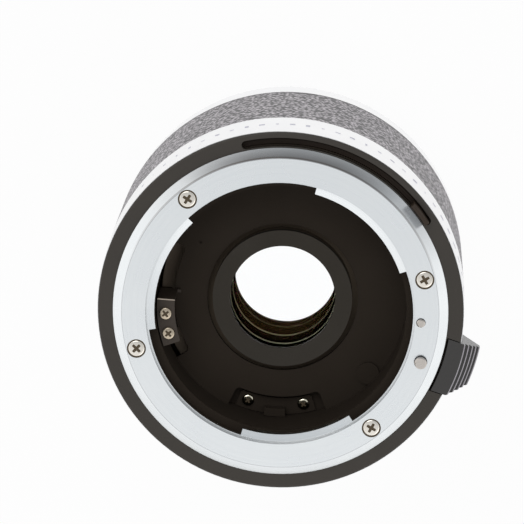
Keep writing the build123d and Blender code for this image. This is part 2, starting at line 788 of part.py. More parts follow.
def release_lever():
    inner = barrel_radius + running_gap
    profile = [(inner, lever_back_z), (lever_step_radii[-1], lever_back_z)]
    steps = list(enumerate(lever_step_radii))
    for index, radius in reversed(steps):
        top = seat_z - index * lever_step_drop
        profile += [(radius, top - lever_edge), (radius - lever_edge, top)]
        if index:
            profile.append((lever_step_radii[index - 1], top))
    profile.append((inner, seat_z))
    lever = turned(profile) & between(lever_plan(), lever_back_z, seat_z)
    skirt = tube(skirt_outer - lever_skirt_wall, skirt_outer, skirt_back_z, lever_back_z + seat_gap)
    lever += skirt & block(inner, body_radius, -lever_low_half, lever_high_half, skirt_back_z,
                           lever_back_z + seat_gap)
    slot_half = tongue_width / 2 + seat_gap
    lever -= block(inner - cut_overrun, tongue_reach + seat_gap, -slot_half, slot_half, lock_plate_back_z
                   - seat_gap, lock_plate_front_z + seat_gap)
    return cut_all(lever, lever_pin_holes())


def lever_pin_places():
    return ((lever_pin_circle, -lever_pin_spacing / 2), (lever_pin_circle, lever_pin_spacing / 2))


def lever_pin_holes():
    return [disc(lever_pin_radius + seat_gap, lever_back_z - cut_overrun, lock_plate_front_z + seat_gap,
                 place) for place in lever_pin_places()]


def lever_pins():
    """Two pressed pins that join the lever to the lock plate's tongue."""
    return [disc(lever_pin_radius, lever_back_z, lock_plate_front_z, place) for place in lever_pin_places()]


def lock_plate():
    plate = arc_block(lock_plate_inner, lock_plate_outer, lock_plate_start_angle, lock_plate_end_angle,
                      lock_plate_back_z, lock_plate_front_z)
    half = tongue_width / 2
    plate += block(lock_plate_outer - cut_overrun, tongue_reach, -half, half, lock_plate_back_z,
                   lock_plate_front_z)
    for place in (at(lock_pin_circle, 0), at(guide_pin_circle, guide_pin_angle)):
        plate -= disc(pin_stub_radius + seat_gap, lock_plate_back_z - cut_overrun, lock_plate_front_z
                      + cut_overrun, place)
    return cut_all(plate, lever_pin_holes())


def plate_pin(radius, circle, angle, rise):
    """Pin that stands on the lock plate, held by a thinner stub through it."""
    chamfer = lock_pin_chamfer
    low = lock_plate_back_z
    base = lock_plate_front_z
    top = lens_face_z + rise
    pin = turned([(0, low), (pin_stub_radius, low), (pin_stub_radius, base), (radius, base),
                  (radius, top - chamfer), (radius - chamfer, top), (0, top)])
    x, y = at(circle, angle)
    return Pos(x, y, 0) * pin


def lock_pin():
    return plate_pin(lock_pin_radius, lock_pin_circle, 0, lock_pin_rise)


def guide_pin():
    return plate_pin(guide_pin_radius, guide_pin_circle, guide_pin_angle, guide_pin_rise)


def release_spring():
    place = Pos(lock_pin_circle, 0, 0)
    return place * tube(release_spring_inner, release_spring_outer, release_spring_z, lock_plate_back_z)


def front_baffle():
    rim_top = lug_floor_z
    rim_low = rim_top - baffle_wall + seat_gap
    rim_outer = lug_space_radius - seat_gap
    cup = turned([(baffle_hole, baffle_back_z), (baffle_outer, baffle_back_z), (baffle_outer, rim_low),
                  (rim_outer, rim_low), (rim_outer, rim_top), (baffle_cup_radius, rim_top),
                  (baffle_cup_radius, baffle_floor_z), (baffle_hole, baffle_floor_z)])
    x, y = at(boss_circle, boss_angle)
    boss = disc(boss_radius, baffle_back_z, baffle_floor_z + boss_rise, (x, y))
    cup += boss & disc(baffle_outer, baffle_back_z, rim_top)
    tray_turn = turn_for(baffle_wall, tray_inner)
    cup += arc_block(tray_inner - baffle_wall, baffle_outer, tray_start_angle - tray_turn, tray_end_angle
                     + tray_turn, tray_back_z, baffle_back_z + seat_gap)
    cup -= arc_block_rounded(tray_inner, baffle_cup_radius, tray_start_angle, tray_end_angle, tray_floor_z,
                             baffle_floor_z + cut_overrun, tray_corner)
    cup -= disc(dimple_radius, baffle_floor_z - dimple_depth, baffle_floor_z + cut_overrun,
                at(dimple_circle, dimple_angle))
    for place in index_screw_places():
        cup -= disc(small_screw_shank + seat_gap, tray_back_z - cut_overrun, tray_floor_z + cut_overrun,
                    place)
    return cup - arc_block_rounded(channel_inner, baffle_cup_radius, channel_start_angle, channel_end_angle,
                                   baffle_back_z - cut_overrun, baffle_floor_z + cut_overrun, channel_corner)


def index_screw_places():
    return [at(index_screw_circle, angle) for angle in index_screw_angles]


def index_bracket():
    outer = baffle_cup_radius - free_gap
    top = tray_floor_z + index_plate_thickness
    bracket = arc_block_rounded(index_plate_inner, outer, index_plate_start_angle, index_plate_end_angle,
                                tray_floor_z, top, index_corner)
    bracket += arc_block(index_block_inner, outer, index_block_start_angle, index_block_end_angle,
                         tray_floor_z, top + index_block_rise)
    for place in index_screw_places():
        bracket -= disc(small_screw_shank + seat_gap, tray_floor_z - cut_overrun, top + cut_overrun, place)
    return bracket


def index_bracket_screws():
    length = index_plate_thickness + baffle_wall
    screw = flat_screw(small_screw_head, small_screw_head_depth, small_screw_shank, length)
    return around(screw, index_screw_circle, index_screw_angles, tray_floor_z + index_plate_thickness)


def stop_down_ring():
    return tube(journal_radius + running_gap, stop_ring_radius, stop_ring_back_z, stop_ring_front_z)


def retainer_z():
    return stop_ring_front_z + running_gap


def ring_retainer():
    inner = journal_radius - retainer_groove + seat_gap
    return tube(inner, journal_radius + retainer_width, retainer_z(), retainer_z() + retainer_thickness)


def shelf_z():
    return stop_plate_back_z - arm_shelf_thickness


def stop_down_arm():
    arm = arc_block(arm_outer - arm_wall, arm_outer, arm_start_angle, arm_end_angle, stop_ring_front_z,
                    stop_plate_back_z)
    arm += arc_block(stop_ring_radius - arm_foot_reach, arm_outer, arm_start_angle, arm_end_angle,
                     stop_ring_front_z, stop_ring_front_z + arm_wall)
    arm += arc_block(arm_shelf_inner, arm_outer, arm_start_angle, arm_end_angle, shelf_z(), stop_plate_back_z)
    return cut_all(arm, stop_screw_holes(shelf_z() - cut_overrun, stop_plate_back_z + cut_overrun))


def stop_screw_holes(low_z, high_z):
    return [disc(small_screw_shank + seat_gap, low_z, high_z, at(stop_screw_circle, angle))
            for angle in stop_screw_angles]


def stop_down_plate():
    plate = arc_block_rounded(stop_plate_inner, stop_plate_outer, stop_plate_start_angle,
                              stop_plate_end_angle, stop_plate_back_z, stop_plate_z, stop_plate_corner)
    wall_end = stop_plate_start_angle + stop_plate_wall_angle - seat_gap
    foot_z = baffle_floor_z + stop_plate_clearance
    plate += arc_block(stop_plate_inner, stop_plate_outer, stop_plate_start_angle, wall_end, foot_z,
                       stop_plate_z)
    plate += arc_block(stop_plate_inner - stop_plate_nub, stop_plate_inner + stop_plate_nub,
                       stop_plate_start_angle, wall_end, foot_z, foot_z + stop_plate_nub)
    return cut_all(plate, stop_screw_holes(stop_plate_back_z - cut_overrun, stop_plate_z + cut_overrun))


def stop_down_screws():
    length = stop_plate_thickness + arm_shelf_thickness
    screw = flat_screw(small_screw_head, small_screw_head_depth, small_screw_shank, length)
    return around(screw, stop_screw_circle, stop_screw_angles, stop_plate_z)


def finger_ends():
    return (finger_angle - finger_turn_angle / 2, finger_angle + finger_turn_angle / 2)


def stop_down_finger():
    start, end = finger_ends()
    finger = arc_block(finger_inner, finger_outer, start, end, finger_rear_z, stop_ring_back_z)
    foot = arc_block(finger_inner - finger_foot_depth, stop_ring_radius, start - finger_foot_margin_angle,
                     end + finger_foot_margin_angle, stop_ring_back_z - finger_foot_depth, stop_ring_back_z)
    return finger + foot


def stop_down_spring():
    """Torsion spring round the lens barrel, between its flange and the ring, as one plain tube."""
    inner = shoulder_radius + free_gap
    return tube(inner, inner + spring_wall, carrier_front_z, stop_ring_back_z - spring_end_gap)


def finger_path(low_z, high_z):
    """Cutter for the arc that the finger sweeps."""
    start, end = finger_ends()
    margin = turn_for(2 * free_gap, finger_inner)
    return arc_block(finger_inner - 2 * free_gap, finger_outer + 2 * free_gap, start
                     - stop_down_travel_angle - margin, end + margin, low_z, high_z)


def lens_barrel():
    shoulder_z = stop_ring_back_z - running_gap
    groove = journal_radius - retainer_groove
    groove_low = retainer_z() - seat_gap
    groove_high = retainer_z() + retainer_thickness + seat_gap
    carrier_radius = barrel_bore - seat_gap
    stop_top = glass_stop_z + glass_stop_width
    barrel = turned([(glass_bore, nose_front_z), (barrel_nose_radius, nose_front_z),
                     (barrel_nose_radius, journal_front_z), (journal_radius, journal_front_z),
                     (journal_radius, groove_high), (groove, groove_high), (groove, groove_low),
                     (journal_radius, groove_low), (journal_radius, shoulder_z),
                     (shoulder_radius, shoulder_z), (shoulder_radius, carrier_front_z),
                     (carrier_radius, carrier_front_z), (carrier_radius, carrier_back_z),
                     (journal_radius, carrier_back_z), (journal_radius, lens_barrel_rear_z),
                     (rear_glass_bore, lens_barrel_rear_z), (rear_glass_bore, glass_stop_z),
                     (glass_stop_radius, glass_stop_z), (glass_stop_radius, stop_top),
                     (glass_bore, stop_top)])
    barrel -= finger_path(carrier_back_z - cut_overrun, carrier_front_z + cut_overrun)
    hole = disc(carrier_screw_radius + seat_gap, carrier_back_z - cut_overrun, carrier_front_z + cut_overrun,
                (carrier_screw_circle, 0))
    return cut_all(barrel, turned_to(hole, carrier_screw_angles, 0))


def carrier_screws():
    length = carrier_thickness + carrier_ledge_depth
    screw = flat_screw(carrier_screw_head, carrier_screw_head_depth, carrier_screw_radius, length)
    return around(Rot(180, 0, 0) * screw, carrier_screw_circle, carrier_screw_angles, carrier_back_z)


def front_retaining_ring():
    top = front_ring_z + front_ring_rise
    thread = glass_bore - seat_gap
    seat = nose_front_z + seat_gap
    return turned([(front_ring_opening, front_ring_z), (thread, front_ring_z), (thread, seat),
                   (front_ring_radius, seat), (front_ring_radius, top),
                   (front_ring_opening, top - front_ring_dish)])


def spacer(top, height):
    """Spacer ring with a thin lip that faces the lens side."""
    outer = glass_bore - seat_gap
    back = spacer_opening + spacer_lip
    low = top - height
    return turned([(back, low), (outer, low), (outer, top), (spacer_opening, top),
                   (spacer_opening, top - spacer_lip)])


def glass(radius, low_seat, high_seat, sag_low, sag_high):
    """Lens element between two seats. Each face bulges by its sag, or is hollow where that is negative."""
    high_z = high_seat - seat_drop(radius, sag_high)
    low_z = low_seat + seat_drop(radius, sag_low)
    low_pole, high_pole = low_z - sag_low, high_z + sag_high
    outline = Line((0, 0, low_pole), (0, 0, high_pole)) + glass_arc(radius, high_z, high_pole)
    outline += Line((radius, 0, high_z), (radius, 0, low_z)) + glass_arc(radius, low_z, low_pole)
    return revolve(make_face(outline), axis=Axis.Z, revolution_arc=full_turn_angle)


def seat_drop(radius, sag):
    """How far a bulging face rises from its edge to the ring that it rests on."""
    if sag <= 0:
        return 0
    return sag * (radius * radius - spacer_opening * spacer_opening) / (radius * radius)


def glass_arc(radius, edge_z, pole_z):
    """Arc of a spherical face from its pole on the axis to its edge."""
    sag = pole_z - edge_z
    sphere = (radius * radius + sag * sag) / (2 * abs(sag))
    centre_z = pole_z - sphere if sag > 0 else pole_z + sphere
    half = radius / 2
    rise = sqrt(sphere * sphere - half * half)
    middle_z = centre_z + rise if sag > 0 else centre_z - rise
    return ThreePointArc((0, 0, pole_z), (half, 0, middle_z), (radius, 0, edge_z))


def elements():
    """Seven glass elements in five groups, front to rear."""
    edge = glass_bore - glass_edge_gap
    gap = glass_edge_gap
    front_top, front_low = front_ring_z - gap, spacer_front_top + gap
    second_top, second_low = spacer_front_top - spacer_front_height - gap, spacer_middle_top + gap
    third_top, third_low = spacer_middle_top - spacer_middle_height - gap, spacer_rear_top + gap
    fourth_top, fourth_low = spacer_rear_top - spacer_rear_height - gap, glass_stop_z + glass_stop_width + gap
    front_cut, third_cut = front_top - doublet_split, third_top - doublet_split
    sag_front, sag_middle, sag_rear = front_glass_sag, middle_glass_sag, rear_glass_sag
    return {
        "element_1": glass(edge, front_cut, front_top, -sag_front, -sag_front),
        "element_2": glass(edge, front_low, front_cut - gap, -sag_front, sag_front),
        "element_3": glass(edge, second_low, second_top, -sag_middle, sag_middle),
        "element_4": glass(edge, third_cut, third_top, -sag_front, -sag_front),
        "element_5": glass(edge, third_low, third_cut - gap, -sag_front, sag_front),
        "element_6": glass(edge, fourth_low, fourth_top, -sag_rear, -sag_rear),
        "element_7": glass(rear_glass_bore - gap, rear_glass_low_z, glass_stop_z - gap, -sag_rear, sag_rear),
    }


def rear_retaining_ring():
    top = rear_glass_low_z - glass_edge_gap
    outer = rear_glass_bore - seat_gap
    low = top - rear_ring_height
    return turned([(rear_ring_opening, top), (outer, top), (outer, low), (outer - spacer_lip, low)])


def rear_frame():
    front = barrel_rear_z + frame_spigot_length
    outer = barrel_bore - seat_gap
    frame = turned([(frame_plate_bore, camera_flange_thickness), (barrel_radius, camera_flange_thickness),
                    (barrel_radius, barrel_rear_z), (outer, barrel_rear_z), (outer, front),
                    (frame_spigot_inner, front), (frame_spigot_inner, barrel_rear_z),
                    (frame_plate_bore, barrel_rear_z)])
    depth = camera_screw_length
    hole = disc(mount_screw_shank + seat_gap, camera_flange_thickness - cut_overrun, depth + seat_gap,
                (camera_screw_circle, 0))
    frame = cut_all(frame, turned_to(hole, camera_screw_angles, 0))
    hole = disc(small_screw_shank + seat_gap, camera_flange_thickness + free_gap, barrel_rear_z + cut_overrun,
                (rear_baffle_screw_circle, 0))
    frame = cut_all(frame, turned_to(hole, rear_baffle_screw_angles, 0))
    side = radial_screw_cutter(frame_screw_radius + seat_gap, frame_screw_radius + seat_gap,
                               frame_spigot_inner - cut_overrun, barrel_radius, barrel_radius)
    return cut_all(frame, turned_to(side, frame_screw_angles, frame_screw_z))


def frame_screws():
    """Headless screws that end just inside the barrel's outer wall."""
    length = barrel_radius - seat_gap - frame_spigot_inner
    screw = Cylinder(frame_screw_radius, length, align=(Align.CENTER, Align.CENTER, Align.MIN))
    outer = barrel_radius - seat_gap - sqrt_sagitta(frame_screw_radius, barrel_radius)
    lying = Pos(outer - length, 0, 0) * Rot(0, 90, 0) * screw
    return turned_to(lying, frame_screw_angles, frame_screw_z)


def sqrt_sagitta(half_width, radius):
    """How far a cylinder's wall falls away over half a screw's width."""
    return radius - sqrt(radius * radius - half_width * half_width)


def rear_baffle():
    outer = frame_spigot_inner - seat_gap
    top = barrel_rear_z + rear_baffle_thickness
    plate = tube(rear_baffle_bore, outer, barrel_rear_z, top)
    plate -= finger_path(barrel_rear_z - cut_overrun, top + cut_overrun)
    hole = disc(small_screw_shank + seat_gap, barrel_rear_z - cut_overrun, top + cut_overrun,
                (rear_baffle_screw_circle, 0))
    return cut_all(plate, turned_to(hole, rear_baffle_screw_angles, 0))


def rear_baffle_screws():
    length = rear_baffle_thickness + barrel_rear_z - camera_flange_thickness - free_gap - seat_gap
    screw = flat_screw(small_screw_head, small_screw_head_depth, small_screw_shank, length)
    return around(screw, rear_baffle_screw_circle, rear_baffle_screw_angles, barrel_rear_z
                  + rear_baffle_thickness)


def camera_mount_ring():
    end = -spigot_length
    bevel = camera_flange_bevel
    flange = camera_flange_radius
    ring = turned([(frame_plate_bore, camera_flange_thickness), (flange, camera_flange_thickness),
                   (flange, bevel), (flange - bevel, 0), (spigot_radius, 0),
                   (spigot_radius, end + spigot_edge), (spigot_radius - spigot_edge, end),
                   (frame_plate_bore, end)])
    lug_back_z = lug_front_z - lug_thickness
    for start, stop in claw_arc_angles:
        ring += arc_block(spigot_radius - seat_gap, lug_radius, start + lug_trim_angle, stop
                          - lug_trim_angle, lug_back_z, lug_front_z)
    ring -= lock_notch()
    return cut_all(ring, camera_screw_cutters())


def lock_notch():
    shape = Pos(lock_pin_circle + lock_notch_stretch / 2, 0) * SlotCenterToCenter(lock_notch_stretch,
                                                                                  lock_notch_width)
    return between(shape, -cut_overrun, lock_notch_depth)


def camera_screw_cutters():
    cutter = sunk_screw_cutter(camera_screw_length)
    return around(Rot(180, 0, 0) * cutter, camera_screw_circle, camera_screw_angles, 0)


def camera_mount_screws():
    screw = sunk_screw(mount_screw_head, mount_screw_shank, camera_screw_length - mount_screw_sink)
    return around(Rot(180, 0, 0) * screw, camera_screw_circle, camera_screw_angles, mount_screw_sink)


def save(name, shape):
    """Write one sub-part; a list of solids becomes one group."""
    solids = []
    for item in shape if isinstance(shape, list) else [shape]:
        solids += item.solids()
    export_step(Compound(children=solids) if len(solids) > 1 else solids[0], f"parts/{name}.step")


def main():
    os.makedirs("parts", exist_ok=True)
    pieces = {
        "lens_mount_ring": lens_mount_ring(),
        "lens_mount_screws": lens_mount_screws(),
        "bayonet_springs": bayonet_springs(),
        "front_collar": front_collar(),
        "front_band": front_band(),
        "grip_leather": grip_leather(),
        "rear_band": rear_band(),
        "outer_shell": outer_shell(),
        "shell_screws": shell_screws(),
        "main_barrel": main_barrel(),
        "coupling_spring": coupling_spring(),
        "coupling_sleeve": coupling_sleeve(),
        "coupling_tab": coupling_tab(),
        "rear_coupling_ring": rear_coupling_ring(),
        "release_lever": release_lever(),
        "lever_pins": lever_pins(),
        "lock_plate": lock_plate(),
        "lock_pin": lock_pin(),
        "guide_pin": guide_pin(),
        "release_spring": release_spring(),
        "front_baffle": front_baffle(),
        "index_bracket": index_bracket(),
        "index_bracket_screws": index_bracket_screws(),
        "stop_down_ring": stop_down_ring(),
        "ring_retainer": ring_retainer(),
        "stop_down_arm": stop_down_arm(),
        "stop_down_plate": stop_down_plate(),
        "stop_down_screws": stop_down_screws(),
        "stop_down_finger": stop_down_finger(),
        "stop_down_spring": stop_down_spring(),
        "lens_barrel": lens_barrel(),
        "carrier_screws": carrier_screws(),
        "front_retaining_ring": front_retaining_ring(),
        "spacer_front": spacer(spacer_front_top, spacer_front_height),
        "spacer_middle": spacer(spacer_middle_top, spacer_middle_height),
        "spacer_rear": spacer(spacer_rear_top, spacer_rear_height),
        "rear_retaining_ring": rear_retaining_ring(),
        "rear_frame": rear_frame(),
        "frame_screws": frame_screws(),
        "rear_baffle": rear_baffle(),
        "rear_baffle_screws": rear_baffle_screws(),
        "camera_mount_ring": camera_mount_ring(),
        "camera_mount_screws": camera_mount_screws(),
    }
    pieces.update(elements())
    for name, shape in pieces.items():
        save(name, shape)


main()
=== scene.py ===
import math
import bmesh
import bpy
from mathutils import Matrix, Vector


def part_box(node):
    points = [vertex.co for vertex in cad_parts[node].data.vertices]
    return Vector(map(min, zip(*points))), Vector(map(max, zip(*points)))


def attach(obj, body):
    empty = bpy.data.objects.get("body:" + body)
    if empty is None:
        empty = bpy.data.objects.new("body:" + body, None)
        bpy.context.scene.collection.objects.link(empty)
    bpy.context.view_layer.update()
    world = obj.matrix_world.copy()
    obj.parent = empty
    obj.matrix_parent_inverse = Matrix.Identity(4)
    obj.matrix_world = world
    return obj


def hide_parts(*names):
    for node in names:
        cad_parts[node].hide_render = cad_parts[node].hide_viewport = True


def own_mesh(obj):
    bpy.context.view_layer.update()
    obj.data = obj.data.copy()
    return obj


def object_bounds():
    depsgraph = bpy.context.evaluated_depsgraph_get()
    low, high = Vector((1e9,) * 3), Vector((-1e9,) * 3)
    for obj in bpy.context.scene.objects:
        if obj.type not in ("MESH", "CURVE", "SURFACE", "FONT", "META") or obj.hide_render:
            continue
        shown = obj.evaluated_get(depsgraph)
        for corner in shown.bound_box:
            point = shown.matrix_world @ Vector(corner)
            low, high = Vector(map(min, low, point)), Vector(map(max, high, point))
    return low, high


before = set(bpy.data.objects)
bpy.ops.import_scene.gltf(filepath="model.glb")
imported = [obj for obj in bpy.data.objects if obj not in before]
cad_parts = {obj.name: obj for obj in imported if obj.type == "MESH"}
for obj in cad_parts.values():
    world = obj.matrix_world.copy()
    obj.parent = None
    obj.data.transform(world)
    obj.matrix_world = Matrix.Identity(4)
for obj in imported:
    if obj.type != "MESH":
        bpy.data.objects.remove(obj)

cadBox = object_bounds()
mm = 0.001

# small helpers


def toLinear(hexColour):
    channels = [int(hexColour[i:i + 2], 16) / 255 for i in (1, 3, 5)]
    return tuple(c / 12.92 if c <= 0.04045 else ((c + 0.055) / 1.055) ** 2.4 for c in channels) + (1.0,)


def addNode(tree, kind, inputs=None, **settings):
    # a node given as an input is linked by its first output in use
    node = tree.nodes.new(kind)
    for name, value in settings.items():
        setattr(node, name, value)
    for name, value in (inputs or {}).items():
        if isinstance(value, bpy.types.Node):
            value = next(socket for socket in value.outputs if socket.enabled)
        if isinstance(value, bpy.types.NodeSocket):
            tree.links.new(value, node.inputs[name])
        else:
            node.inputs[name].default_value = value
    return node


def newMaterial(name):
    material = bpy.data.materials.new(name)
    material.use_nodes = True
    material.node_tree.nodes.clear()
    return material, material.node_tree


def polar(radius, angle, height=0.0):
    return Vector((radius * math.cos(math.radians(angle)), radius * math.sin(math.radians(angle)), height))


def ringOf(blank, radius, height, count):
    return [blank.verts.new(polar(radius, 360 * i / count, height)) for i in range(count)]


def joinRings(blank, first, second, smooth, material=0):
    for i in range(len(first)):
        j = (i + 1) % len(first)
        face = blank.faces.new((first[i], second[i], second[j], first[j]))
        face.smooth = smooth
        face.material_index = material


def closedMesh(blank, name):
    bmesh.ops.recalc_face_normals(blank, faces=blank.faces)
    mesh = bpy.data.meshes.new(name)
    blank.to_mesh(mesh)
    blank.free()
    return mesh


def keepObject(name, mesh, material, body="base", nodes=()):
    piece = bpy.data.objects.new(name, mesh)
    bpy.context.scene.collection.objects.link(piece)
    if material and not mesh.materials:
        mesh.materials.append(material)
    if nodes:
        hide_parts(*nodes)
    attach(piece, body)
    return piece


# the camera stands at the photograph's angle

cameraValues = {
    "place": (-26.78, 141.44, 630.86),   # millimetres
    "right": (0.94624, 0.32104, -0.04003),
    "up": (-0.32165, 0.92026, -0.22292),
    "back": (-0.03473, 0.22380, 0.97402),
    "lens": 232.16, "sensorWidth": 36.0,
    "nearest": 0.01, "furthest": 20.0,   # metres
}


def makeCamera():
    data = bpy.data.cameras.new("photoCamera")
    data.lens = cameraValues["lens"]
    data.sensor_width = cameraValues["sensorWidth"]
    data.clip_start = cameraValues["nearest"]
    data.clip_end = cameraValues["furthest"]
    camera = bpy.data.objects.new("photoCamera", data)
    bpy.context.scene.collection.objects.link(camera)
    turn = Matrix((cameraValues["right"], cameraValues["up"], cameraValues["back"])).transposed().to_4x4()
    camera.matrix_world = Matrix.Translation(Vector(cameraValues["place"]) * mm) @ turn
    bpy.context.scene.camera = camera


makeCamera()

# light, floor and background

studio = {
    "worldFill": 0.62,            # what matt surfaces get from all round
    "facing": "#ffffff",          # what bright metal sees below the camera
    "cameraShade": "#b9bcbf",     # beside the camera itself
    "above": "#b2b5b8",           # above it, towards 12 o'clock
    "around": "#ffffff",          # and at its other sides
    # between which values of the direction's Y, Z and Y these three pass into one another
    "shadeStarts": (-0.42, 0.0), "aheadStarts": (0.6, 0.95), "aboveStarts": (0.35, 0.85),
    "lamps": {"keySoftbox": {"place": (-0.35, 0.45, 0.75), "size": 0.5, "power": 1.6},
              "fillSoftbox": {"place": (0.5, -0.35, 0.6), "size": 0.6, "power": 0.7}},
    "lampAim": (0, 0, 0.02),
    "floorColour": "#f4f4f5", "floorHalf": 1.5,
    "floorShadowShare": 0.05,
    "greyStart": 0.045, "greyEnd": 0.2,   # metres from the axis
    "greyShare": 0.1,                     # how much is taken away there
}
white = (1, 1, 1, 1)


def makeWorld():
    world = bpy.data.worlds.new("paleStudio")
    bpy.context.scene.world = world
    world.use_nodes = True
    tree = world.node_tree
    tree.nodes.clear()
    path = addNode(tree, "ShaderNodeLightPath")
    seen = addNode(tree, "ShaderNodeMath", {
        0: path.outputs["Is Camera Ray"], 1: path.outputs["Is Transmission Ray"]}, operation="MAXIMUM")
    direction = addNode(tree, "ShaderNodeTexCoord")
    parts = addNode(tree, "ShaderNodeSeparateXYZ", {"Vector": direction.outputs["Generated"]})
    fades = {}
    for name, axis in (("shadeStarts", "Y"), ("aheadStarts", "Z"), ("aboveStarts", "Y")):
        start, end = studio[name]
        fades[name] = addNode(tree, "ShaderNodeMapRange", {
            "Value": parts.outputs[axis], "From Min": start, "From Max": end})
    ahead = addNode(tree, "ShaderNodeMix", {
        0: fades["shadeStarts"], 6: toLinear(studio["facing"]), 7: toLinear(studio["cameraShade"])},
        data_type="RGBA")
    glossy = addNode(tree, "ShaderNodeMix", {
        0: fades["aheadStarts"], 6: toLinear(studio["around"]), 7: ahead}, data_type="RGBA")
    glossy = addNode(tree, "ShaderNodeMix", {
        0: fades["aboveStarts"], 6: glossy, 7: toLinear(studio["above"])}, data_type="RGBA")
    plain = addNode(tree, "ShaderNodeBackground", {"Color": white, "Strength": 1.0})
    reflected = addNode(tree, "ShaderNodeBackground", {"Color": glossy, "Strength": 1.0})
    soft = addNode(tree, "ShaderNodeBackground", {"Color": white, "Strength": studio["worldFill"]})
    inGloss = addNode(tree, "ShaderNodeMixShader", {0: path.outputs["Is Glossy Ray"], 1: soft, 2: reflected})
    inView = addNode(tree, "ShaderNodeMixShader", {0: seen, 1: inGloss, 2: plain})
    addNode(tree, "ShaderNodeOutputWorld", {"Surface": inView})


def makeLamps():
    for name, values in studio["lamps"].items():
        data = bpy.data.lights.new(name, "AREA")
        data.size = values["size"]
        data.energy = values["power"]
        lamp = bpy.data.objects.new(name, data)
        bpy.context.scene.collection.objects.link(lamp)
        lamp.location = values["place"]
        towards = Vector(studio["lampAim"]) - Vector(values["place"])
        lamp.rotation_euler = towards.to_track_quat("-Z", "Y").to_euler()


def makeFloor():
    # pale laminate: white to the camera and in reflections, with a little of the object's shadow kept
    material, tree = newMaterial("paleTableLaminate")
    path = addNode(tree, "ShaderNodeLightPath")
    first = addNode(tree, "ShaderNodeMath", {
        0: path.outputs["Is Camera Ray"], 1: path.outputs["Is Glossy Ray"]}, operation="MAXIMUM")
    lit = addNode(tree, "ShaderNodeMath", {0: first, 1: 1.0 - studio["floorShadowShare"]},
                  operation="MULTIPLY")
    share = addNode(tree, "ShaderNodeMath", {0: lit, 1: path.outputs["Is Transmission Ray"]},
                    operation="MAXIMUM")
    matt = addNode(tree, "ShaderNodeBsdfDiffuse", {"Color": toLinear(studio["floorColour"])})
    # bright metal sees it white beside the object and a little greyer further out, which shapes the bands
    spot = addNode(tree, "ShaderNodeTexCoord")
    away = addNode(tree, "ShaderNodeVectorMath", {0: spot.outputs["Object"]}, operation="LENGTH")
    dim = addNode(tree, "ShaderNodeMapRange", {
        "Value": away, "From Min": studio["greyStart"], "From Max": studio["greyEnd"], "To Min": 0.0,
        "To Max": studio["greyShare"]})
    taken = addNode(tree, "ShaderNodeMath", {0: dim, 1: path.outputs["Is Glossy Ray"]}, operation="MULTIPLY")
    strength = addNode(tree, "ShaderNodeMath", {0: 1.0, 1: taken}, operation="SUBTRACT")
    glow = addNode(tree, "ShaderNodeEmission", {"Color": white, "Strength": strength})
    both = addNode(tree, "ShaderNodeMixShader", {0: share, 1: matt, 2: glow})
    addNode(tree, "ShaderNodeOutputMaterial", {"Surface": both})
    half = studio["floorHalf"]
    low = cadBox[0][2]
    mesh = bpy.data.meshes.new("tableTop")
    corners = [(-half, -half, low), (half, -half, low), (half, half, low), (-half, half, low)]
    mesh.from_pydata(corners, [], [(0, 1, 2, 3)])
    mesh.materials.append(material)
    floor = bpy.data.objects.new("tableTop", mesh)
    bpy.context.scene.collection.objects.link(floor)


makeWorld()
makeLamps()
makeFloor()
bpy.context.scene.view_settings.view_transform = "Standard"
print("camera, light and floor are up")

# materials


def startMaterial(name, upperLean=-0.25):
    # what every finish reads: a point's place, its distance from the axis and the way its surface faces;
    # "upper" is the height towards 12 o'clock, leaning to one side as the light does
    material, tree = newMaterial(name)
    coordinates = addNode(tree, "ShaderNodeTexCoord")
    where = coordinates.outputs["Object"]
    parts = addNode(tree, "ShaderNodeSeparateXYZ", {"Vector": where})
    flat = addNode(tree, "ShaderNodeVectorMath", {0: where, 1: (1, 1, 0)}, operation="MULTIPLY")
    radius = addNode(tree, "ShaderNodeVectorMath", {0: flat}, operation="LENGTH")
    facing = addNode(tree, "ShaderNodeSeparateXYZ", {"Vector": coordinates.outputs["Normal"]})
    outward = addNode(tree, "ShaderNodeVectorMath", {0: coordinates.outputs["Normal"], 1: flat},
                      operation="DOT_PRODUCT")
    aside = addNode(tree, "ShaderNodeMath", {0: parts.outputs["X"], 1: upperLean}, operation="MULTIPLY")
    upper = addNode(tree, "ShaderNodeMath", {0: parts.outputs["Y"], 1: aside}, operation="ADD")
    places = {"where": where, "x": parts.outputs["X"], "y": parts.outputs["Y"], "z": parts.outputs["Z"],
              "radius": radius, "upper": upper, "outward": outward,
              "facingY": facing.outputs["Y"], "facingZ": facing.outputs["Z"]}
    return material, tree, places


def finishMaterial(material, tree, colour, rough, height, depthMm, strength, fixed):
    bump = addNode(tree, "ShaderNodeBump", {"Height": height, "Strength": strength, "Distance": depthMm * mm})
    inputs = {"Base Color": colour, "Roughness": rough, "Normal": bump}
    inputs.update(fixed)
    surface = addNode(tree, "ShaderNodeBsdfPrincipled", inputs)
    addNode(tree, "ShaderNodeOutputMaterial", {"Surface": surface})
    return material


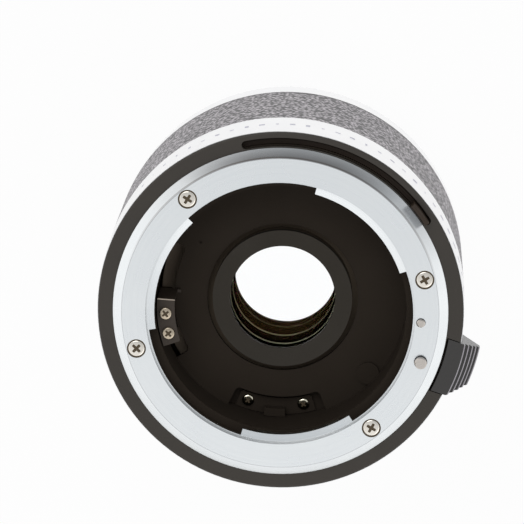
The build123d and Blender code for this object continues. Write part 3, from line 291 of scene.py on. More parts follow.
def markBands(tree, places, colour, bands):
    # bands of another colour, painted shade or painted highlight, where an edge, groove, step or side runs:
    # limits in millimetres, and "fade" goes from full to none
    for band in bands:
        factors = [band.get("strength", 1.0)]
        for key in ("radius", "upper", "z"):
            if key + "Fade" in band:
                full, none = band[key + "Fade"]
                factors.append(addNode(tree, "ShaderNodeMapRange", {
                    "Value": places[key], "From Min": none * mm, "From Max": full * mm}))
        for key in ("radius", "z"):
            if key in band:
                low, high = band[key]
                factors.append(addNode(tree, "ShaderNodeMath", {
                    0: places[key], 1: (low + high) / 2 * mm, 2: (high - low) / 2 * mm}, operation="COMPARE"))
        for key in ("facingY", "facingZ", "outward"):
            if key in band:
                sign, limit = band[key]
                factors.append(addNode(tree, "ShaderNodeMath", {0: places[key], 1: limit}, operation=sign))
        factor = factors[0]
        for further in factors[1:]:
            factor = addNode(tree, "ShaderNodeMath", {0: factor, 1: further}, operation="MULTIPLY")
        colour = addNode(tree, "ShaderNodeMix", {0: factor, 6: colour, 7: toLinear(band["colour"])},
                         data_type="RGBA")
    return colour


turnedPattern = {
    "cloudMm": 6, "cloudDetail": 4.0, "ringDetail": 2.0,
    "roughSpread": (-0.05, 0.07), "strength": 0.5,
}


def turnedMetal(name, colour, shade, rough, grooveMm, depthMm, bands=()):
    # turned metal: fine rings about the optical axis catch the light, with faint cloudy variation between;
    # the real tool marks are finer, and are drawn this coarse so that they show
    material, tree, places = startMaterial(name)
    along = addNode(tree, "ShaderNodeMath", {0: places["radius"], 1: places["z"]}, operation="ADD")
    rings = addNode(tree, "ShaderNodeTexNoise", {
        "W": along, "Scale": 1 / (grooveMm * mm), "Detail": turnedPattern["ringDetail"]},
        noise_dimensions="1D")
    cloud = addNode(tree, "ShaderNodeTexNoise", {
        "Vector": places["where"], "Scale": 1 / (turnedPattern["cloudMm"] * mm),
        "Detail": turnedPattern["cloudDetail"]})
    share = addNode(tree, "ShaderNodeMath", {0: cloud, 1: rings}, operation="MULTIPLY")
    mixed = addNode(tree, "ShaderNodeMix", {0: share, 6: toLinear(colour), 7: toLinear(shade)},
                    data_type="RGBA")
    mixed = markBands(tree, places, mixed, bands)
    lowest, highest = turnedPattern["roughSpread"]
    uneven = addNode(tree, "ShaderNodeMapRange", {
        "Value": cloud, "To Min": rough + lowest, "To Max": rough + highest})
    return finishMaterial(material, tree, mixed, uneven, rings, depthMm, turnedPattern["strength"],
                          {"Metallic": 1.0})


grainyPattern = {
    "cloudMm": 9, "detail": 3.0,
    "roughSpread": (-0.06, 0.08), "strength": 0.4, "coatRough": 0.12,
}


def grainyMetal(name, colour, shade, rough, grainMm=0.25, bumpMm=0.006, metallic=0.0, specular=0.5, coat=0.0,
                bands=()):
    # blasted, painted, plated or anodised metal: an even fine grain, a little lighter on its tips;
    # real grit is finer, and is drawn this coarse so that it shows
    material, tree, places = startMaterial(name)
    grain, cloud = (addNode(tree, "ShaderNodeTexNoise", {
        "Vector": places["where"], "Scale": 1 / (size * mm), "Detail": grainyPattern["detail"]})
        for size in (grainMm, grainyPattern["cloudMm"]))
    share = addNode(tree, "ShaderNodeMath", {0: grain, 1: cloud}, operation="MULTIPLY")
    mixed = addNode(tree, "ShaderNodeMix", {0: share, 6: toLinear(colour), 7: toLinear(shade)},
                    data_type="RGBA")
    mixed = markBands(tree, places, mixed, bands)
    lowest, highest = grainyPattern["roughSpread"]
    uneven = addNode(tree, "ShaderNodeMapRange", {
        "Value": cloud, "To Min": rough + lowest, "To Max": rough + highest})
    return finishMaterial(material, tree, mixed, uneven, grain, bumpMm, grainyPattern["strength"], {
        "Metallic": metallic, "Specular IOR Level": specular, "Coat Weight": coat,
        "Coat Roughness": grainyPattern["coatRough"]})


leatherPattern = {
    # crest is a painted highlight, valley painted shade, rearShade a painted shadow line at the rear edge
    "crest": "#dcd5db", "valley": "#171417", "rearShade": "#3a3539",
    "pebbleMm": 0.56, "reliefMm": 0.12,
    "pebbleFall": (0.24, 0.6),              # between which shares of its size a pebble falls away
    "sleeveRadius": 32.85, "rearEdgeZ": 9.55, "rearEdgeFade": 1.5,   # millimetres
    "runShare": 0.75, "heightShare": 0.82,  # below 1 draws the pebbles out round and along the sleeve
    "warpMm": 0.9, "warpReachMm": 0.4, "warpDetail": 1.0,
    "fineMm": 0.3, "fineDetail": 2.0, "fineRelief": 0.25, "fineTone": 1.1,
    "patchMm": 2.2, "patchDetail": 2.0, "patchTone": 0.2,
    "rough": (0.36, 0.54), "strength": 1.0, "specular": 0.7,
}
noiseMiddle = 0.5


def leatherette(name):
    # embossed vinyl: small crowded pebbles; painted shade in the creases and a painted shadow line at the
    # rear
    values = leatherPattern
    material, tree, places = startMaterial(name)
    turn = addNode(tree, "ShaderNodeMath", {0: places["x"], 1: places["y"]}, operation="ARCTAN2")
    run = addNode(tree, "ShaderNodeMath", {0: turn, 1: values["sleeveRadius"] * values["runShare"] * mm},
                  operation="MULTIPLY")
    height = addNode(tree, "ShaderNodeMath", {0: places["z"], 1: values["heightShare"]}, operation="MULTIPLY")
    sheet = addNode(tree, "ShaderNodeCombineXYZ", {"X": run, "Y": height, "Z": places["radius"]})
    wander = addNode(tree, "ShaderNodeTexNoise", {
        "Vector": sheet, "Scale": 1 / (values["warpMm"] * mm), "Detail": values["warpDetail"]})
    shift = addNode(tree, "ShaderNodeVectorMath", {0: wander.outputs["Color"], 1: (noiseMiddle,) * 3},
                    operation="SUBTRACT")
    shift = addNode(tree, "ShaderNodeVectorMath", {0: shift, "Scale": values["warpReachMm"] * mm},
                    operation="SCALE")
    moved = addNode(tree, "ShaderNodeVectorMath", {0: sheet, 1: shift}, operation="ADD")
    cells = addNode(tree, "ShaderNodeTexVoronoi", {"Vector": moved, "Scale": 1 / (values["pebbleMm"] * mm)},
                    feature="F1")
    start, end = values["pebbleFall"]
    pebble = addNode(tree, "ShaderNodeMapRange", {
        "Value": cells.outputs["Distance"], "From Min": start, "From Max": end, "To Min": 1.0, "To Max": 0.0})
    fine, patch = (addNode(tree, "ShaderNodeTexNoise", {
        "Vector": sheet, "Scale": 1 / (values[key + "Mm"] * mm), "Detail": values[key + "Detail"]})
        for key in ("fine", "patch"))
    relief = addNode(tree, "ShaderNodeMath", {0: fine, 1: values["fineRelief"], 2: pebble},
                     operation="MULTIPLY_ADD")
    # the pebbles' pale crests are a painted highlight and the dark creases painted shade
    tone = pebble
    for noise, weight in ((fine, values["fineTone"]), (patch, values["patchTone"])):
        offset = addNode(tree, "ShaderNodeMath", {0: noise, 1: noiseMiddle}, operation="SUBTRACT")
        tone = addNode(tree, "ShaderNodeMath", {0: offset, 1: weight, 2: tone}, operation="MULTIPLY_ADD")
    mixed = addNode(tree, "ShaderNodeMix", {
        0: tone, 6: toLinear(values["valley"]), 7: toLinear(values["crest"])}, data_type="RGBA")
    edge = values["rearEdgeZ"]
    mixed = markBands(tree, places, mixed, (
        {"zFade": (edge, edge + values["rearEdgeFade"]), "colour": values["rearShade"]},))
    smoothest, roughest = values["rough"]
    uneven = addNode(tree, "ShaderNodeMapRange", {"Value": fine, "To Min": smoothest, "To Max": roughest})
    return finishMaterial(material, tree, mixed, uneven, relief, values["reliefMm"], values["strength"],
                          {"Specular IOR Level": values["specular"]})


glassPattern = {
    "hazeMm": 8, "hazeDetail": 1.0, "rough": (0.0, 0.004),
    "ior": 1.5, "specular": 0.05,
    "filmNm": 107.0, "filmIor": 1.22, "reflection": "#9da38c",
}


def coatedGlass(name, tint, alpha, transmission):
    # polished optical glass: clear, and its many coatings leave hardly a reflection
    values = glassPattern
    material, tree, places = startMaterial(name)
    haze = addNode(tree, "ShaderNodeTexNoise", {
        "Vector": places["where"], "Scale": 1 / (values["hazeMm"] * mm), "Detail": values["hazeDetail"]})
    smoothest, roughest = values["rough"]
    uneven = addNode(tree, "ShaderNodeMapRange", {"Value": haze, "To Min": smoothest, "To Max": roughest})
    surface = addNode(tree, "ShaderNodeBsdfPrincipled", {
        "Base Color": toLinear(tint), "Roughness": uneven, "Transmission Weight": transmission,
        "Alpha": alpha, "IOR": values["ior"], "Specular IOR Level": values["specular"],
        "Thin Film Thickness": values["filmNm"], "Thin Film IOR": values["filmIor"],
        "Specular Tint": toLinear(values["reflection"])})
    addNode(tree, "ShaderNodeOutputMaterial", {"Surface": surface})
    return material


ringPaintedShade = (
    # painted shade: the slope round the face is darker in its upper stretch, most of all beside the face
    {"radius": (28.2, 30.0), "radiusFade": (28.3, 30.4), "upperFade": (28.6, 22.5), "colour": "#5d5856",
     "strength": 0.75},
    {"radius": (28.2, 30.0), "upperFade": (27.0, 12.0), "colour": "#8f8d8d", "strength": 0.35},
    # painted shade: darker lines along the crease between slope and face
    {"radius": (28.06, 28.42), "upperFade": (28.0, 6.0), "z": (49.6, 50.1), "colour": "#6f6862",
     "strength": 0.65},
    {"radius": (28.08, 28.2), "z": (49.8, 50.1), "colour": "#b8babd", "strength": 0.6},
    # painted shade along the step to the claws
    {"radius": (23.85, 24.0), "z": (49.0, 49.97), "colour": "#6f655d", "strength": 0.55},  # step to the claws
)
# painted highlight: a pale olive line on the spacers' inner edge
spacerPaintedHighlight = ({"radius": (9.0, 9.7), "colour": "#c8c8a6"},)
# painted highlights: a grey line along the front of each step of the lever
leverSteps = {"radii": (33.4, 34.2, 35.0, 35.7, 36.4), "inside": 0.2, "outside": 0.05}
leverStepHighlights = tuple({"radius": (r - leverSteps["inside"], r + leverSteps["outside"]),
                    "facingZ": ("GREATER_THAN", 0.3), "colour": "#a4a0a6"} for r in leverSteps["radii"])
# painted light on the tab's sides that face the axis, which the ring's slope reflects
tabPaintedLight = ({"outward": ("LESS_THAN", -0.012), "colour": "#c3c4c6"},)
# painted highlight: a bright crescent on the upper side of each dark head
screwPaintedHighlight = ({"facingY": ("GREATER_THAN", 0.18), "colour": "#e6e0cc"},)
# painted shade on the sides of the pins
pinPaintedShade = ({"z": (49.4, 50.85), "facingZ": ("LESS_THAN", 0.5), "colour": "#2f2a2c"},)

# every finish, with what it gives the eye
finishes = {
    # cool silver with a soft streak of light, and painted shade on the slope round the face
    "mountChrome": turnedMetal("satinChromeOnBrass", "#f7fafb", "#e4e9ed", rough=0.25, grooveMm=0.35,
                               depthMm=0.003, bands=ringPaintedShade),
    # the same silver, a little duller
    "rearChrome": turnedMetal("satinChromeRearMount", "#eef0f3", "#dde1e5", rough=0.27, grooveMm=0.35,
                              depthMm=0.004),
    # nearly white silver with a wide, soft highlight
    "bandAluminium": turnedMetal("satinAnodisedAluminium", "#ffffff", "#f7f7fa", rough=0.36, grooveMm=0.3,
                                 depthMm=0.003),
    # warm dark grey with a dull sheen
    "blackAnodised": grainyMetal("blackAnodisedAluminium", "#3b3630", "#2b2824", rough=0.5, specular=0.4),
    # dark brown with painted light on the sides that face the axis
    "tabPaint": grainyMetal("blackBrassTabPaintedLight", "#352a20", "#281f17", rough=0.5, specular=0.3,
                            bands=tabPaintedLight),
    # near black and glossier, with a painted grey highlight along each step
    "leverLacquer": grainyMetal("blackLacqueredBrass", "#252220", "#1a1816", rough=0.34, bumpMm=0.004,
                                coat=0.45, bands=leverStepHighlights),
    # flat brown-black that hides the throat's walls
    "interiorPaint": grainyMetal("mattBlackEnamel", "#332c25", "#27211b", rough=0.72, grainMm=0.3,
                                 bumpMm=0.01, specular=0.12),
    # warm grey-brown, matt, which makes the channel's floor lighter than the cup
    "ringPhosphate": grainyMetal("brownPhosphatedSteel", "#85786a", "#6d6154", rough=0.7, grainMm=0.3,
                                 bumpMm=0.008, specular=0.1),
    # lighter grey-black in the groove round the glass
    "grooveEnamel": grainyMetal("greyBlackEnamel", "#5d5347", "#4a4238", rough=0.8, grainMm=0.3, bumpMm=0.008,
                                specular=0.05),
    # deep brown-black at the bottom of the arc slot
    "sleeveBlack": grainyMetal("brownBlackAnodisedAluminium", "#2a2018", "#1f1710", rough=0.6, specular=0.2),
    # black with a faint sheen on the ring's slope
    "ringEnamel": grainyMetal("satinBlackEnamel", "#36312a", "#2a261f", rough=0.6, grainMm=0.3, bumpMm=0.01,
                              specular=0.25),
    # black wall with a pale olive painted highlight on its inner edge
    "spacerEnamel": grainyMetal("blackEnamelPaintedHighlight", "#1f1e14", "#16160d", rough=0.9, grainMm=0.3,
                                bumpMm=0.008, specular=0.0, bands=spacerPaintedHighlight),
    # dark brown-grey sheet steel that catches a little light
    "plateOxide": grainyMetal("blackOxideSteel", "#3f362e", "#2f2822", rough=0.5, specular=0.35),
    # soft dark grey inside the body
    "frameAluminium": grainyMetal("darkAnodisedAluminium", "#2b2825", "#1f1c1a", rough=0.55, metallic=0.2,
                                  specular=0.3),
    # dark grey metal with a dull reflection
    "blackenedSteel": grainyMetal("blackenedSteel", "#4a4744", "#34312f", rough=0.42, metallic=0.8),
    # bright grey wire and leaves
    "springSteel": grainyMetal("brightSpringSteel", "#b9b5ad", "#98948c", rough=0.3, grainMm=0.3,
                               bumpMm=0.004, metallic=1.0),
    # warm bright silver with clear highlights
    "nickel": grainyMetal("nickelPlatedSteel", "#f2ede4", "#d9d1c4", rough=0.22, grainMm=0.35, bumpMm=0.004,
                          metallic=1.0),
    # warm silver tops with painted shade on their sides, so the pins stand out of the ring
    "pinNickel": grainyMetal("burnishedNickelPins", "#d6cfc8", "#b9b2ab", rough=0.26, grainMm=0.3,
                             bumpMm=0.004, metallic=1.0, bands=pinPaintedShade),
    # dark glossy heads with a painted highlight, a bright crescent on their upper side
    "gunmetal": grainyMetal("blackNickelPlatedSteel", "#4b473c", "#35322a", rough=0.16, grainMm=0.35,
                            bumpMm=0.002, metallic=1.0, bands=screwPaintedHighlight),
    # duller, yellower silver
    "smallNickel": grainyMetal("dulledNickelScrews", "#cdbfab", "#a2957f", rough=0.24, grainMm=0.35,
                               bumpMm=0.004, metallic=0.9),
    # a bright line where paint has worn off
    # painted highlight: a bright line along the plate's bent edges
    "edgeHighlightSteel": grainyMetal("paintedHighlightSteelStrips", "#b9ad9f", "#94897c", rough=0.3, grainMm=0.3, bumpMm=0.004,
                             metallic=1.0),
    # painted shade: dull brown in the cross recesses and round the sunk heads
    "oldOil": grainyMetal("paintedShadeInRecesses", "#5d5140", "#3d3428", rough=0.6, grainMm=0.3, specular=0.2),
    # grey at a distance, light grain on near black when close: painted highlights and shade
    "leatherette": leatherette("grainedVinylLeatherette"),
    # pale grey marks, faint on the silver
    "markPaint": grainyMetal("greyFilledEngraving", "#d9d9e3", "#c6c6d4", rough=0.7, grainMm=0.2,
                             bumpMm=0.004),
    # clear, with the least tint in its reflection
    "outerGlass": coatedGlass("coatedCrownGlass", "#ffffff", alpha=1.0, transmission=1.0),
    # clear, drawn as nearly absent, so the seven lenses don't darken the opening
    "innerGlass": coatedGlass("coatedFlintGlass", "#20241c", alpha=0.001, transmission=0.0),
    # matt black round the glass
    "rimInk": grainyMetal("blackenedGlassEdge", "#14110d", "#0e0c09", rough=0.9, grainMm=0.3, bumpMm=0.004,
                          specular=0.0),
}

finishNodes = {
    "mountChrome": ("lens_mount_ring",), "rearChrome": ("camera_mount_ring",),
    "bandAluminium": ("front_band", "rear_band"), "leatherette": ("grip_leather",),
    "blackAnodised": ("front_collar", "rear_coupling_ring"), "leverLacquer": ("release_lever",),
    "tabPaint": ("coupling_tab",), "plateOxide": ("stop_down_plate",), "grooveEnamel": ("lens_barrel",),
    "interiorPaint": ("front_baffle", "rear_baffle", "stop_down_arm", "index_bracket", "main_barrel"),
    "ringEnamel": ("front_retaining_ring", "rear_retaining_ring"),
    "spacerEnamel": ("spacer_front", "spacer_middle", "spacer_rear"),
    "sleeveBlack": ("outer_shell", "coupling_sleeve"), "frameAluminium": ("rear_frame",),
    "ringPhosphate": ("stop_down_ring",),
    "blackenedSteel": ("lock_plate", "stop_down_finger", "ring_retainer"),
    "springSteel": ("bayonet_springs", "coupling_spring", "release_spring", "stop_down_spring"),
    "nickel": ("lens_mount_screws", "camera_mount_screws", "lever_pins"),
    "pinNickel": ("lock_pin", "guide_pin"), "smallNickel": ("stop_down_screws",),
    "gunmetal": ("shell_screws", "carrier_screws", "frame_screws", "rear_baffle_screws",
                 "index_bracket_screws"),
    "outerGlass": ("element_1", "element_2", "element_6", "element_7"),
    "innerGlass": ("element_3", "element_4", "element_5"),
}
nodeFinish = {nodeName: finish for finish, names in finishNodes.items() for nodeName in names}

for nodeName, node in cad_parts.items():
    node.data.materials.clear()
    node.data.materials.append(finishes[nodeFinish[nodeName]])
print("materials are on", len(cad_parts), "nodes")

# seven lens elements, turned smooth, with their edges inked black

lensElements = {
    "rows": 8, "segments": 120, "sharpAngle": 40,
    # how far the front and the rear face bulge, in millimetres: below zero is hollow
    "bulges": {"element_1": (-0.2, -0.2), "element_2": (0.2, -0.2), "element_3": (0.5, -0.5),
               "element_4": (-0.2, -0.2), "element_5": (0.2, -0.2), "element_6": (-0.3, -0.3),
               "element_7": (0.3, -0.3)},
}


def capHeight(radius, edgeRadius, edgeZ, bulge):
    sphere = (edgeRadius ** 2 + bulge ** 2) / (2 * abs(bulge))
    rise = math.sqrt(sphere ** 2 - radius ** 2) - (sphere - abs(bulge))
    return edgeZ + math.copysign(rise, bulge)


def turnGlass(name, edgeRadius, frontZ, rearZ, frontBulge, rearBulge):
    # two caps from pole to edge and the cylinder between them, closed all round
    rows, segments = lensElements["rows"], lensElements["segments"]
    blank = bmesh.new()
    steps = [edgeRadius * (k + 1) / rows for k in range(rows)]
    profile = [(r, capHeight(r, edgeRadius, frontZ, frontBulge)) for r in steps]
    profile += [(r, capHeight(r, edgeRadius, rearZ, rearBulge)) for r in reversed(steps)]
    rings = [ringOf(blank, radius, height, segments) for radius, height in profile]
    for k in range(len(rings) - 1):
        joinRings(blank, rings[k], rings[k + 1], smooth=True, material=1 if k == rows - 1 else 0)
    for ends, height, turned in ((rings[0], frontZ + frontBulge, False),
                                 (rings[-1], rearZ + rearBulge, True)):
        pole = blank.verts.new((0, 0, height))
        for i in range(segments):
            j = (i + 1) % segments
            face = blank.faces.new((ends[j], ends[i], pole) if turned else (ends[i], ends[j], pole))
            face.smooth = True
    mesh = closedMesh(blank, name)
    mesh.set_sharp_from_angle(angle=math.radians(lensElements["sharpAngle"]))
    return mesh


def makeGlass():
    for nodeName, (frontBulge, rearBulge) in lensElements["bulges"].items():
        low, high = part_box(nodeName)
        frontZ = high[2] - max(frontBulge, 0) * mm
        name = "lens" + nodeName.replace("_", "").capitalize()
        mesh = turnGlass(name, high[0], frontZ, low[2], frontBulge * mm, -rearBulge * mm)
        mesh.materials.append(finishes[nodeFinish[nodeName]])
        mesh.materials.append(finishes["rimInk"])
        keepObject(name, mesh, None, "base", (nodeName,))


makeGlass()
print("lens elements are in")

# painted highlights: thin bright strips along the bent stop-down plate's edges

plateEdges = {
    "innerRadius": 19.0, "outerRadius": 22.1,
    # start angle, angle that it covers, height of its top and thickness
    "strips": ((194.4, 0.55, 45.52, 0.03), (195.3, 0.5, 37.75, 0.03)),
}


def makePlateEdgeHighlights():
    blank = bmesh.new()
    inner, outer = plateEdges["innerRadius"], plateEdges["outerRadius"]
    for start, cover, top, thickness in plateEdges["strips"]:
        end = start + cover
        corners = [(r, a, z) for z in (top, top - thickness)
                   for r, a in ((inner, start), (outer, start), (outer, end), (inner, end))]
        points = [blank.verts.new(polar(r * mm, a, z * mm)) for r, a, z in corners]
        for face in ((0, 1, 2, 3), (7, 6, 5, 4), (0, 4, 5, 1), (1, 5, 6, 2), (2, 6, 7, 3), (3, 7, 4, 0)):
            blank.faces.new([points[i] for i in face])
    mesh = closedMesh(blank, "plateEdges")
    keepObject("plateEdges", mesh, finishes["edgeHighlightSteel"], "stop_down")


makePlateEdgeHighlights()
print("plate edges are on")

# coil spring behind the lock plate, which the lever's slide presses shorter

releaseSpring = {
    "turns": 7.5, "closedTurns": 1.0,      # all of them, and those that lie close at each end
    "stepsPerTurn": 28, "wireSides": 10,
    "wireRadius": 0.17, "endGap": 0.02,    # millimetres
    "travel": 1.8,
}


def makeReleaseSpring():
    values = releaseSpring
    low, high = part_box("release_spring")
    middle = Vector(((low[0] + high[0]) / 2, (low[1] + high[1]) / 2, 0))
    wire = values["wireRadius"] * mm
    coilRadius = (high[0] - low[0]) / 2 - wire
    bottom, top = low[2] + wire, high[2] - wire - values["endGap"] * mm
    closed = values["closedTurns"] * 2 * wire
    openTurns = values["turns"] - 2 * values["closedTurns"]
    sides = [2 * math.pi * side / values["wireSides"] for side in range(values["wireSides"])]
    blank = bmesh.new()
    rings = []
    for step in range(round(values["turns"] * values["stepsPerTurn"]) + 1):
        turns = step / values["stepsPerTurn"]
        fromStart = min(turns, values["closedTurns"]) * 2 * wire
        fromEnd = max(turns - values["turns"] + values["closedTurns"], 0) * 2 * wire
        share = min(max((turns - values["closedTurns"]) / openTurns, 0), 1)
        height = bottom + fromStart + share * (top - bottom - 2 * closed) + fromEnd
        rings.append([blank.verts.new(middle + polar(
            coilRadius + wire * math.cos(side), 360 * turns, height + wire * math.sin(side)))
            for side in sides])
    for first, second in zip(rings, rings[1:]):
        joinRings(blank, first, second, smooth=True)
    blank.faces.new(rings[0])
    blank.faces.new(rings[-1])
    mesh = closedMesh(blank, "releaseSpring")
    spring = keepObject("releaseSpring", mesh, finishes["springSteel"], "base",
                        ("release_spring",))
    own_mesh(spring)


makeReleaseSpring()
print("release spring is in")

# screws: a modelled head with a cross recess, set on points by geometry nodes

screwShape = {
    # on the head's top, as shares of its radius
    "recessEdge": 0.025, "nearRim": 0.9, "beyondRim": 1.1,
    "endDepth": 0.5,       # how much of the recess's depth is gone at the end of an arm
    "sharpAngle": 32,
    "shadeFit": 0.97,        # the painted shade's share of the recess's width
    "shadeDrop": 0.13,       # millimetres below the top
    "seatSegments": 40,
}


def crossHead(name, values):
    # closed screw: top grid bent to a disc, then rim, underside and shank
    armLength, armWidth, edge = values["armLength"], values["armWidth"], screwShape["recessEdge"]
    lines = [0.0, armWidth / 2, armWidth - edge, armWidth + edge, (armWidth + armLength) / 2,
             armLength - edge, armLength + edge, (armLength + screwShape["beyondRim"]) / 2,
             screwShape["nearRim"], 1.0]
    lines = sorted({round(s * v, 5) for v in lines for s in (-1, 1)})
    count = len(lines)
    inner = values["head"] - values["rim"]
    vertices = []
    for v in lines:
        for u in lines:
            x, y = u * math.sqrt(1 - v * v / 2), v * math.sqrt(1 - u * u / 2)
            height = values["dome"] * (1 - x * x - y * y)
            reach = max(abs(u), abs(v))
            if min(abs(u), abs(v)) < armWidth and reach < armLength:
                height -= values["recess"] * (1.0 - screwShape["endDepth"] * reach / armLength)
            vertices.append((x * inner, y * inner, height))
    faces = []
    for row in range(count - 1):
        for column in range(count - 1):
            a = row * count + column
            faces.append((a, a + 1, a + count + 1, a + count))
    last = count - 1
    ring = list(range(count)) + [r * count + last for r in range(1, count)]
    ring += [last * count + c for c in range(last - 1, -1, -1)] + [r * count for r in range(last - 1, 0, -1)]
    for radius, height in values["profile"]:
        start = len(vertices)
        for index in ring:
            x, y, _ = vertices[index]
            scale = radius / math.hypot(x, y)
            vertices.append((x * scale, y * scale, height))
        fresh = list(range(start, start + len(ring)))
        for i in range(len(ring)):
            j = (i + 1) % len(ring)
            faces.append((ring[i], fresh[i], fresh[j], ring[j]))
        ring = fresh
    faces.append(tuple(reversed(ring)))
    mesh = bpy.data.meshes.new(name)
    mesh.from_pydata([tuple(c * mm for c in vertex) for vertex in vertices], [], faces)
    mesh.validate()
    mesh.shade_smooth()
    mesh.set_sharp_from_angle(angle=math.radians(screwShape["sharpAngle"]))
    return mesh


def addSockets(tree, inputs, output):
    for label, kind in inputs:
        tree.interface.new_socket(name=label, in_out="INPUT", socket_type="NodeSocket" + kind)
    tree.interface.new_socket(name=output, in_out="OUTPUT", socket_type="NodeSocketGeometry")


def instanceTree(name):
    # points with a turn each get the part, made real and given one material
    tree = bpy.data.node_groups.new(name, "GeometryNodeTree")
    addSockets(tree, (("Points", "Geometry"), ("Part", "Object"), ("Size", "Float"),
                      ("Material", "Material")), "Pieces")
    entry = addNode(tree, "NodeGroupInput")
    part = addNode(tree, "GeometryNodeObjectInfo", {"Object": entry.outputs["Part"]})
    turn = addNode(tree, "GeometryNodeInputNamedAttribute", {"Name": "turn"}, data_type="FLOAT_VECTOR")
    spin = addNode(tree, "FunctionNodeEulerToRotation", {"Euler": turn.outputs["Attribute"]})
    points = addNode(tree, "GeometryNodeMeshToPoints", {"Mesh": entry.outputs["Points"]})
    placed = addNode(tree, "GeometryNodeInstanceOnPoints", {
        "Points": points, "Instance": part.outputs["Geometry"], "Rotation": spin,
        "Scale": entry.outputs["Size"]})
    real = addNode(tree, "GeometryNodeRealizeInstances", {"Geometry": placed})
    coloured = addNode(tree, "GeometryNodeSetMaterial", {
        "Geometry": real, "Material": entry.outputs["Material"]})
    addNode(tree, "NodeGroupOutput", {"Pieces": coloured})
    return tree


def bakeNodes(name, source, tree, values):
    # set the inputs by identifier, evaluate once and keep the plain mesh
    modifier = source.modifiers.new(tree.name, "NODES")
    modifier.node_group = tree
    identifiers = {item.name: item.identifier for item in tree.interface.items_tree
                   if item.item_type == "SOCKET" and item.in_out == "INPUT"}
    for label, value in values.items():
        modifier[identifiers[label]] = value
    graph = bpy.context.evaluated_depsgraph_get()
    mesh = bpy.data.meshes.new_from_object(source.evaluated_get(graph))
    mesh.name = name
    source.modifiers.remove(modifier)
    return mesh


screwTree = instanceTree("screwsOnPoints")

# sizes in millimetres, the recess's arms as shares of the head's radius;
# profile: radius and height of rim, underside and shank; seat: the painted shade in the groove round a sunk
# head
screwKinds = {
    "mountScrew": {
        "head": 1.41, "rim": 0.1, "dome": 0.05, "recess": 0.5, "armLength": 0.66, "armWidth": 0.18,
        "profile": ((1.41, -0.07), (0.8, -0.73), (0.8, -4.9)), "seat": (1.42, 1.69, -0.1, -0.28)},
    "cameraScrew": {
        "head": 1.46, "rim": 0.1, "dome": 0.05, "recess": 0.5, "armLength": 0.62, "armWidth": 0.17,
        "profile": ((1.46, -0.07), (0.8, -0.73), (0.8, -3.9)), "seat": (1.47, 1.69, -0.1, -0.28)},
    "plateScrew": {
        "head": 1.1, "rim": 0.14, "dome": 0.08, "recess": 0.4, "armLength": 0.7, "armWidth": 0.19,
        "profile": ((1.04, -0.04), (1.09, -0.12), (1.1, -0.2), (1.1, -0.5), (0.5, -0.5), (0.5, -1.9))},
    "bracketScrew": {
        "head": 1.1, "rim": 0.34, "dome": 0.06, "recess": 0.35, "armLength": 0.7, "armWidth": 0.19,
        "profile": ((0.9, -0.06), (1.01, -0.14), (1.08, -0.26), (1.1, -0.38), (1.1, -0.5), (0.5, -0.5),
                    (0.5, -1.6))},
}

# every visible screw: radius of its circle and height of its top in millimetres,
# and its spots as place and cross angle in degrees
screwSets = {
    "lensMountScrews": {
        "kind": "mountScrew", "finish": "nickel", "node": "lens_mount_screws", "body": "base",
        "circle": 26.35, "top": 49.94, "spots": ((33, 49), (147, 76), (213, 65), (327, 79))},
    "cameraMountScrews": {
        "kind": "cameraScrew", "finish": "nickel", "node": "camera_mount_screws", "body": "base",
        "circle": 26.2, "top": 0.06, "spots": ((45, 15), (135, 50), (225, 80), (315, 30)), "flip": True},
    "stopDownScrews": {
        "kind": "plateScrew", "finish": "smallNickel", "node": "stop_down_screws", "body": "stop_down",
        "circle": 20.65, "top": 46.0, "spots": ((201.7, 55), (211.9, 60))},
    "bracketScrews": {
        "kind": "bracketScrew", "finish": "gunmetal", "node": "index_bracket_screws", "body": "base",
        "circle": 20.55, "top": 36.1, "spots": ((270.9, 48), (299.4, 70))},
}


def recessPaintedShade(name, values):
    # painted shade on the recess's floor and, on a sunk screw, in the groove round its head
    blank = bmesh.new()
    arm = values["head"] * values["armLength"] * screwShape["shadeFit"]
    half = values["head"] * values["armWidth"] * screwShape["shadeFit"]
    corners = [(half, half), (half, arm), (-half, arm), (-half, half), (-arm, half), (-arm, -half),
               (-half, -half), (-half, -arm), (half, -arm), (half, -half), (arm, -half), (arm, half)]
    height = values["dome"] - screwShape["shadeDrop"]
    floor = blank.faces.new([blank.verts.new((x, y, height)) for x, y in corners])
    sunk = bmesh.ops.extrude_face_region(blank, geom=[floor])["geom"]
    for vertex in [item for item in sunk if isinstance(item, bmesh.types.BMVert)]:
        vertex.co.z -= values["recess"]
    if "seat" in values:
        inner, outer, high, low = values["seat"]
        rings = [ringOf(blank, radius, height, screwShape["seatSegments"])
                 for radius, height in ((inner, high), (outer, high), (outer, low), (inner, low))]
        for k in range(len(rings)):
            joinRings(blank, rings[k], rings[(k + 1) % len(rings)], smooth=False)
    bmesh.ops.scale(blank, vec=(mm, mm, mm), verts=blank.verts)
    return closedMesh(blank, name)


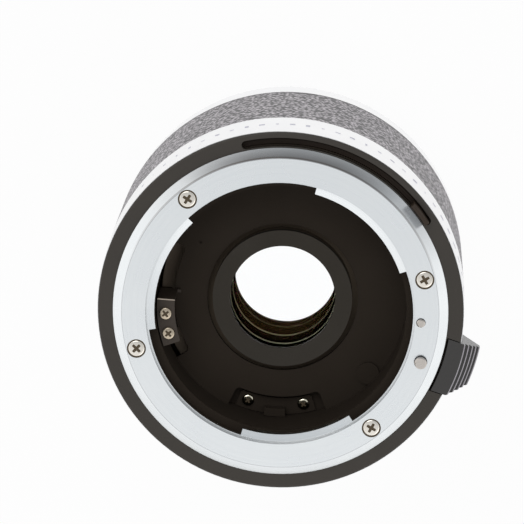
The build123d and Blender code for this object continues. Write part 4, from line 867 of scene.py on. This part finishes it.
def makeScrews():
    for name, values in screwSets.items():
        kind = screwKinds[values["kind"]]
        spots = [polar(values["circle"] * mm, angle, values["top"] * mm) for angle, _ in values["spots"]]
        over = math.pi if values.get("flip") else 0.0
        # each set gets its heads and a piece of painted shade in their recesses
        for label, shape, finish, replaced in ((name, crossHead, values["finish"], (values["node"],)),
                                               (name + "Oil", recessPaintedShade, "oldOil", ())):
            blank = bpy.data.objects.new(label + "Blank", shape(label + "Blank", kind))
            mesh = bpy.data.meshes.new(label + "Points")
            mesh.from_pydata([tuple(spot) for spot in spots], [], [])
            turns = mesh.attributes.new("turn", "FLOAT_VECTOR", "POINT")
            for index, (_, angle) in enumerate(values["spots"]):
                turns.data[index].vector = (over, 0.0, math.radians(angle))
            source = bpy.data.objects.new(label + "Points", mesh)
            bpy.context.scene.collection.objects.link(source)
            result = bakeNodes(label, source, screwTree, {
                "Part": blank, "Size": 1.0, "Material": finishes[finish]})
            bpy.data.objects.remove(source)
            bpy.data.objects.remove(blank)
            keepObject(label, result, finishes[finish], values["body"], replaced)


makeScrews()
print("screws are set")

# plain ticks on the front band, where the real one is engraved

bandTicks = {
    "start": 24.0, "end": 158.0,   # degrees
    "count": 29,
    "radius": 32.725,
    "height": 41.6,                # middle of the tick above the camera flange
    "width": 0.3, "length": 1.2, "proud": 0.024,
    "fullEvery": 4.0,              # every so many ticks one keeps its full length
    "cutShare": (0.1, 0.75), "cutSeed": 7,        # what the others lose of it
    "widthShare": (0.6, 4.0), "widthSeed": 11,
}


def tickTree():
    values = bandTicks
    tree = bpy.data.node_groups.new("ticksRoundBand", "GeometryNodeTree")
    addSockets(tree, (("Blank", "Geometry"), ("Count", "Int"), ("Start", "Float"), ("Step", "Float"),
                      ("Radius", "Float"), ("Height", "Float"), ("Tick Size", "Vector"),
                      ("Material", "Material")), "Ticks")
    entry = addNode(tree, "NodeGroupInput")
    line = addNode(tree, "GeometryNodeMeshLine", {"Count": entry.outputs["Count"]})
    index = addNode(tree, "GeometryNodeInputIndex")
    angle = addNode(tree, "ShaderNodeMath", {0: index, 1: entry.outputs["Step"], 2: entry.outputs["Start"]},
                    operation="MULTIPLY_ADD")
    spot = {"Z": entry.outputs["Height"]}
    for axis, wave in (("X", "COSINE"), ("Y", "SINE")):
        share = addNode(tree, "ShaderNodeMath", {0: angle}, operation=wave)
        spot[axis] = addNode(tree, "ShaderNodeMath", {0: share, 1: entry.outputs["Radius"]},
                             operation="MULTIPLY")
    place = addNode(tree, "ShaderNodeCombineXYZ", spot)
    moved = addNode(tree, "GeometryNodeSetPosition", {"Geometry": line, "Position": place})
    turn = addNode(tree, "ShaderNodeCombineXYZ", {"Z": angle})
    spin = addNode(tree, "FunctionNodeEulerToRotation", {"Euler": turn})
    cube = addNode(tree, "GeometryNodeMeshCube", {"Size": entry.outputs["Tick Size"]})
    rest = addNode(tree, "ShaderNodeMath", {0: index, 1: values["fullEvery"]}, operation="MODULO")
    short = addNode(tree, "ShaderNodeMath", {0: rest, 1: 0.5}, operation="GREATER_THAN")   # whole numbers
    least, most = values["cutShare"]
    chance = addNode(tree, "FunctionNodeRandomValue", {2: least, 3: most, "Seed": values["cutSeed"]},
                     data_type="FLOAT")
    least, most = values["widthShare"]
    breadth = addNode(tree, "FunctionNodeRandomValue", {2: least, 3: most, "Seed": values["widthSeed"]},
                      data_type="FLOAT")
    loss = addNode(tree, "ShaderNodeMath", {0: short, 1: chance}, operation="MULTIPLY")
    share = addNode(tree, "ShaderNodeMath", {0: 1.0, 1: loss}, operation="SUBTRACT")
    size = addNode(tree, "ShaderNodeCombineXYZ", {"X": 1.0, "Y": breadth, "Z": share})
    placed = addNode(tree, "GeometryNodeInstanceOnPoints", {
        "Points": moved, "Instance": cube, "Rotation": spin, "Scale": size})
    real = addNode(tree, "GeometryNodeRealizeInstances", {"Geometry": placed})
    coloured = addNode(tree, "GeometryNodeSetMaterial", {
        "Geometry": real, "Material": entry.outputs["Material"]})
    addNode(tree, "NodeGroupOutput", {"Ticks": coloured})
    return tree


def makeTicks():
    values = bandTicks
    source = bpy.data.objects.new("tickBlank", bpy.data.meshes.new("tickBlank"))
    bpy.context.scene.collection.objects.link(source)
    step = math.radians((values["end"] - values["start"]) / (values["count"] - 1))
    mesh = bakeNodes("bandTicks", source, tickTree(), {
        "Count": values["count"], "Start": math.radians(values["start"]), "Step": step,
        "Radius": values["radius"] * mm, "Height": values["height"] * mm,
        "Tick Size": (values["proud"] * 2 * mm, values["width"] * mm, values["length"] * mm),
        "Material": finishes["markPaint"]})
    bpy.data.objects.remove(source)
    keepObject("bandTicks", mesh, finishes["markPaint"])


makeTicks()
print("ticks are on the band")

# bring the view layer up to date

bpy.context.view_layer.update()
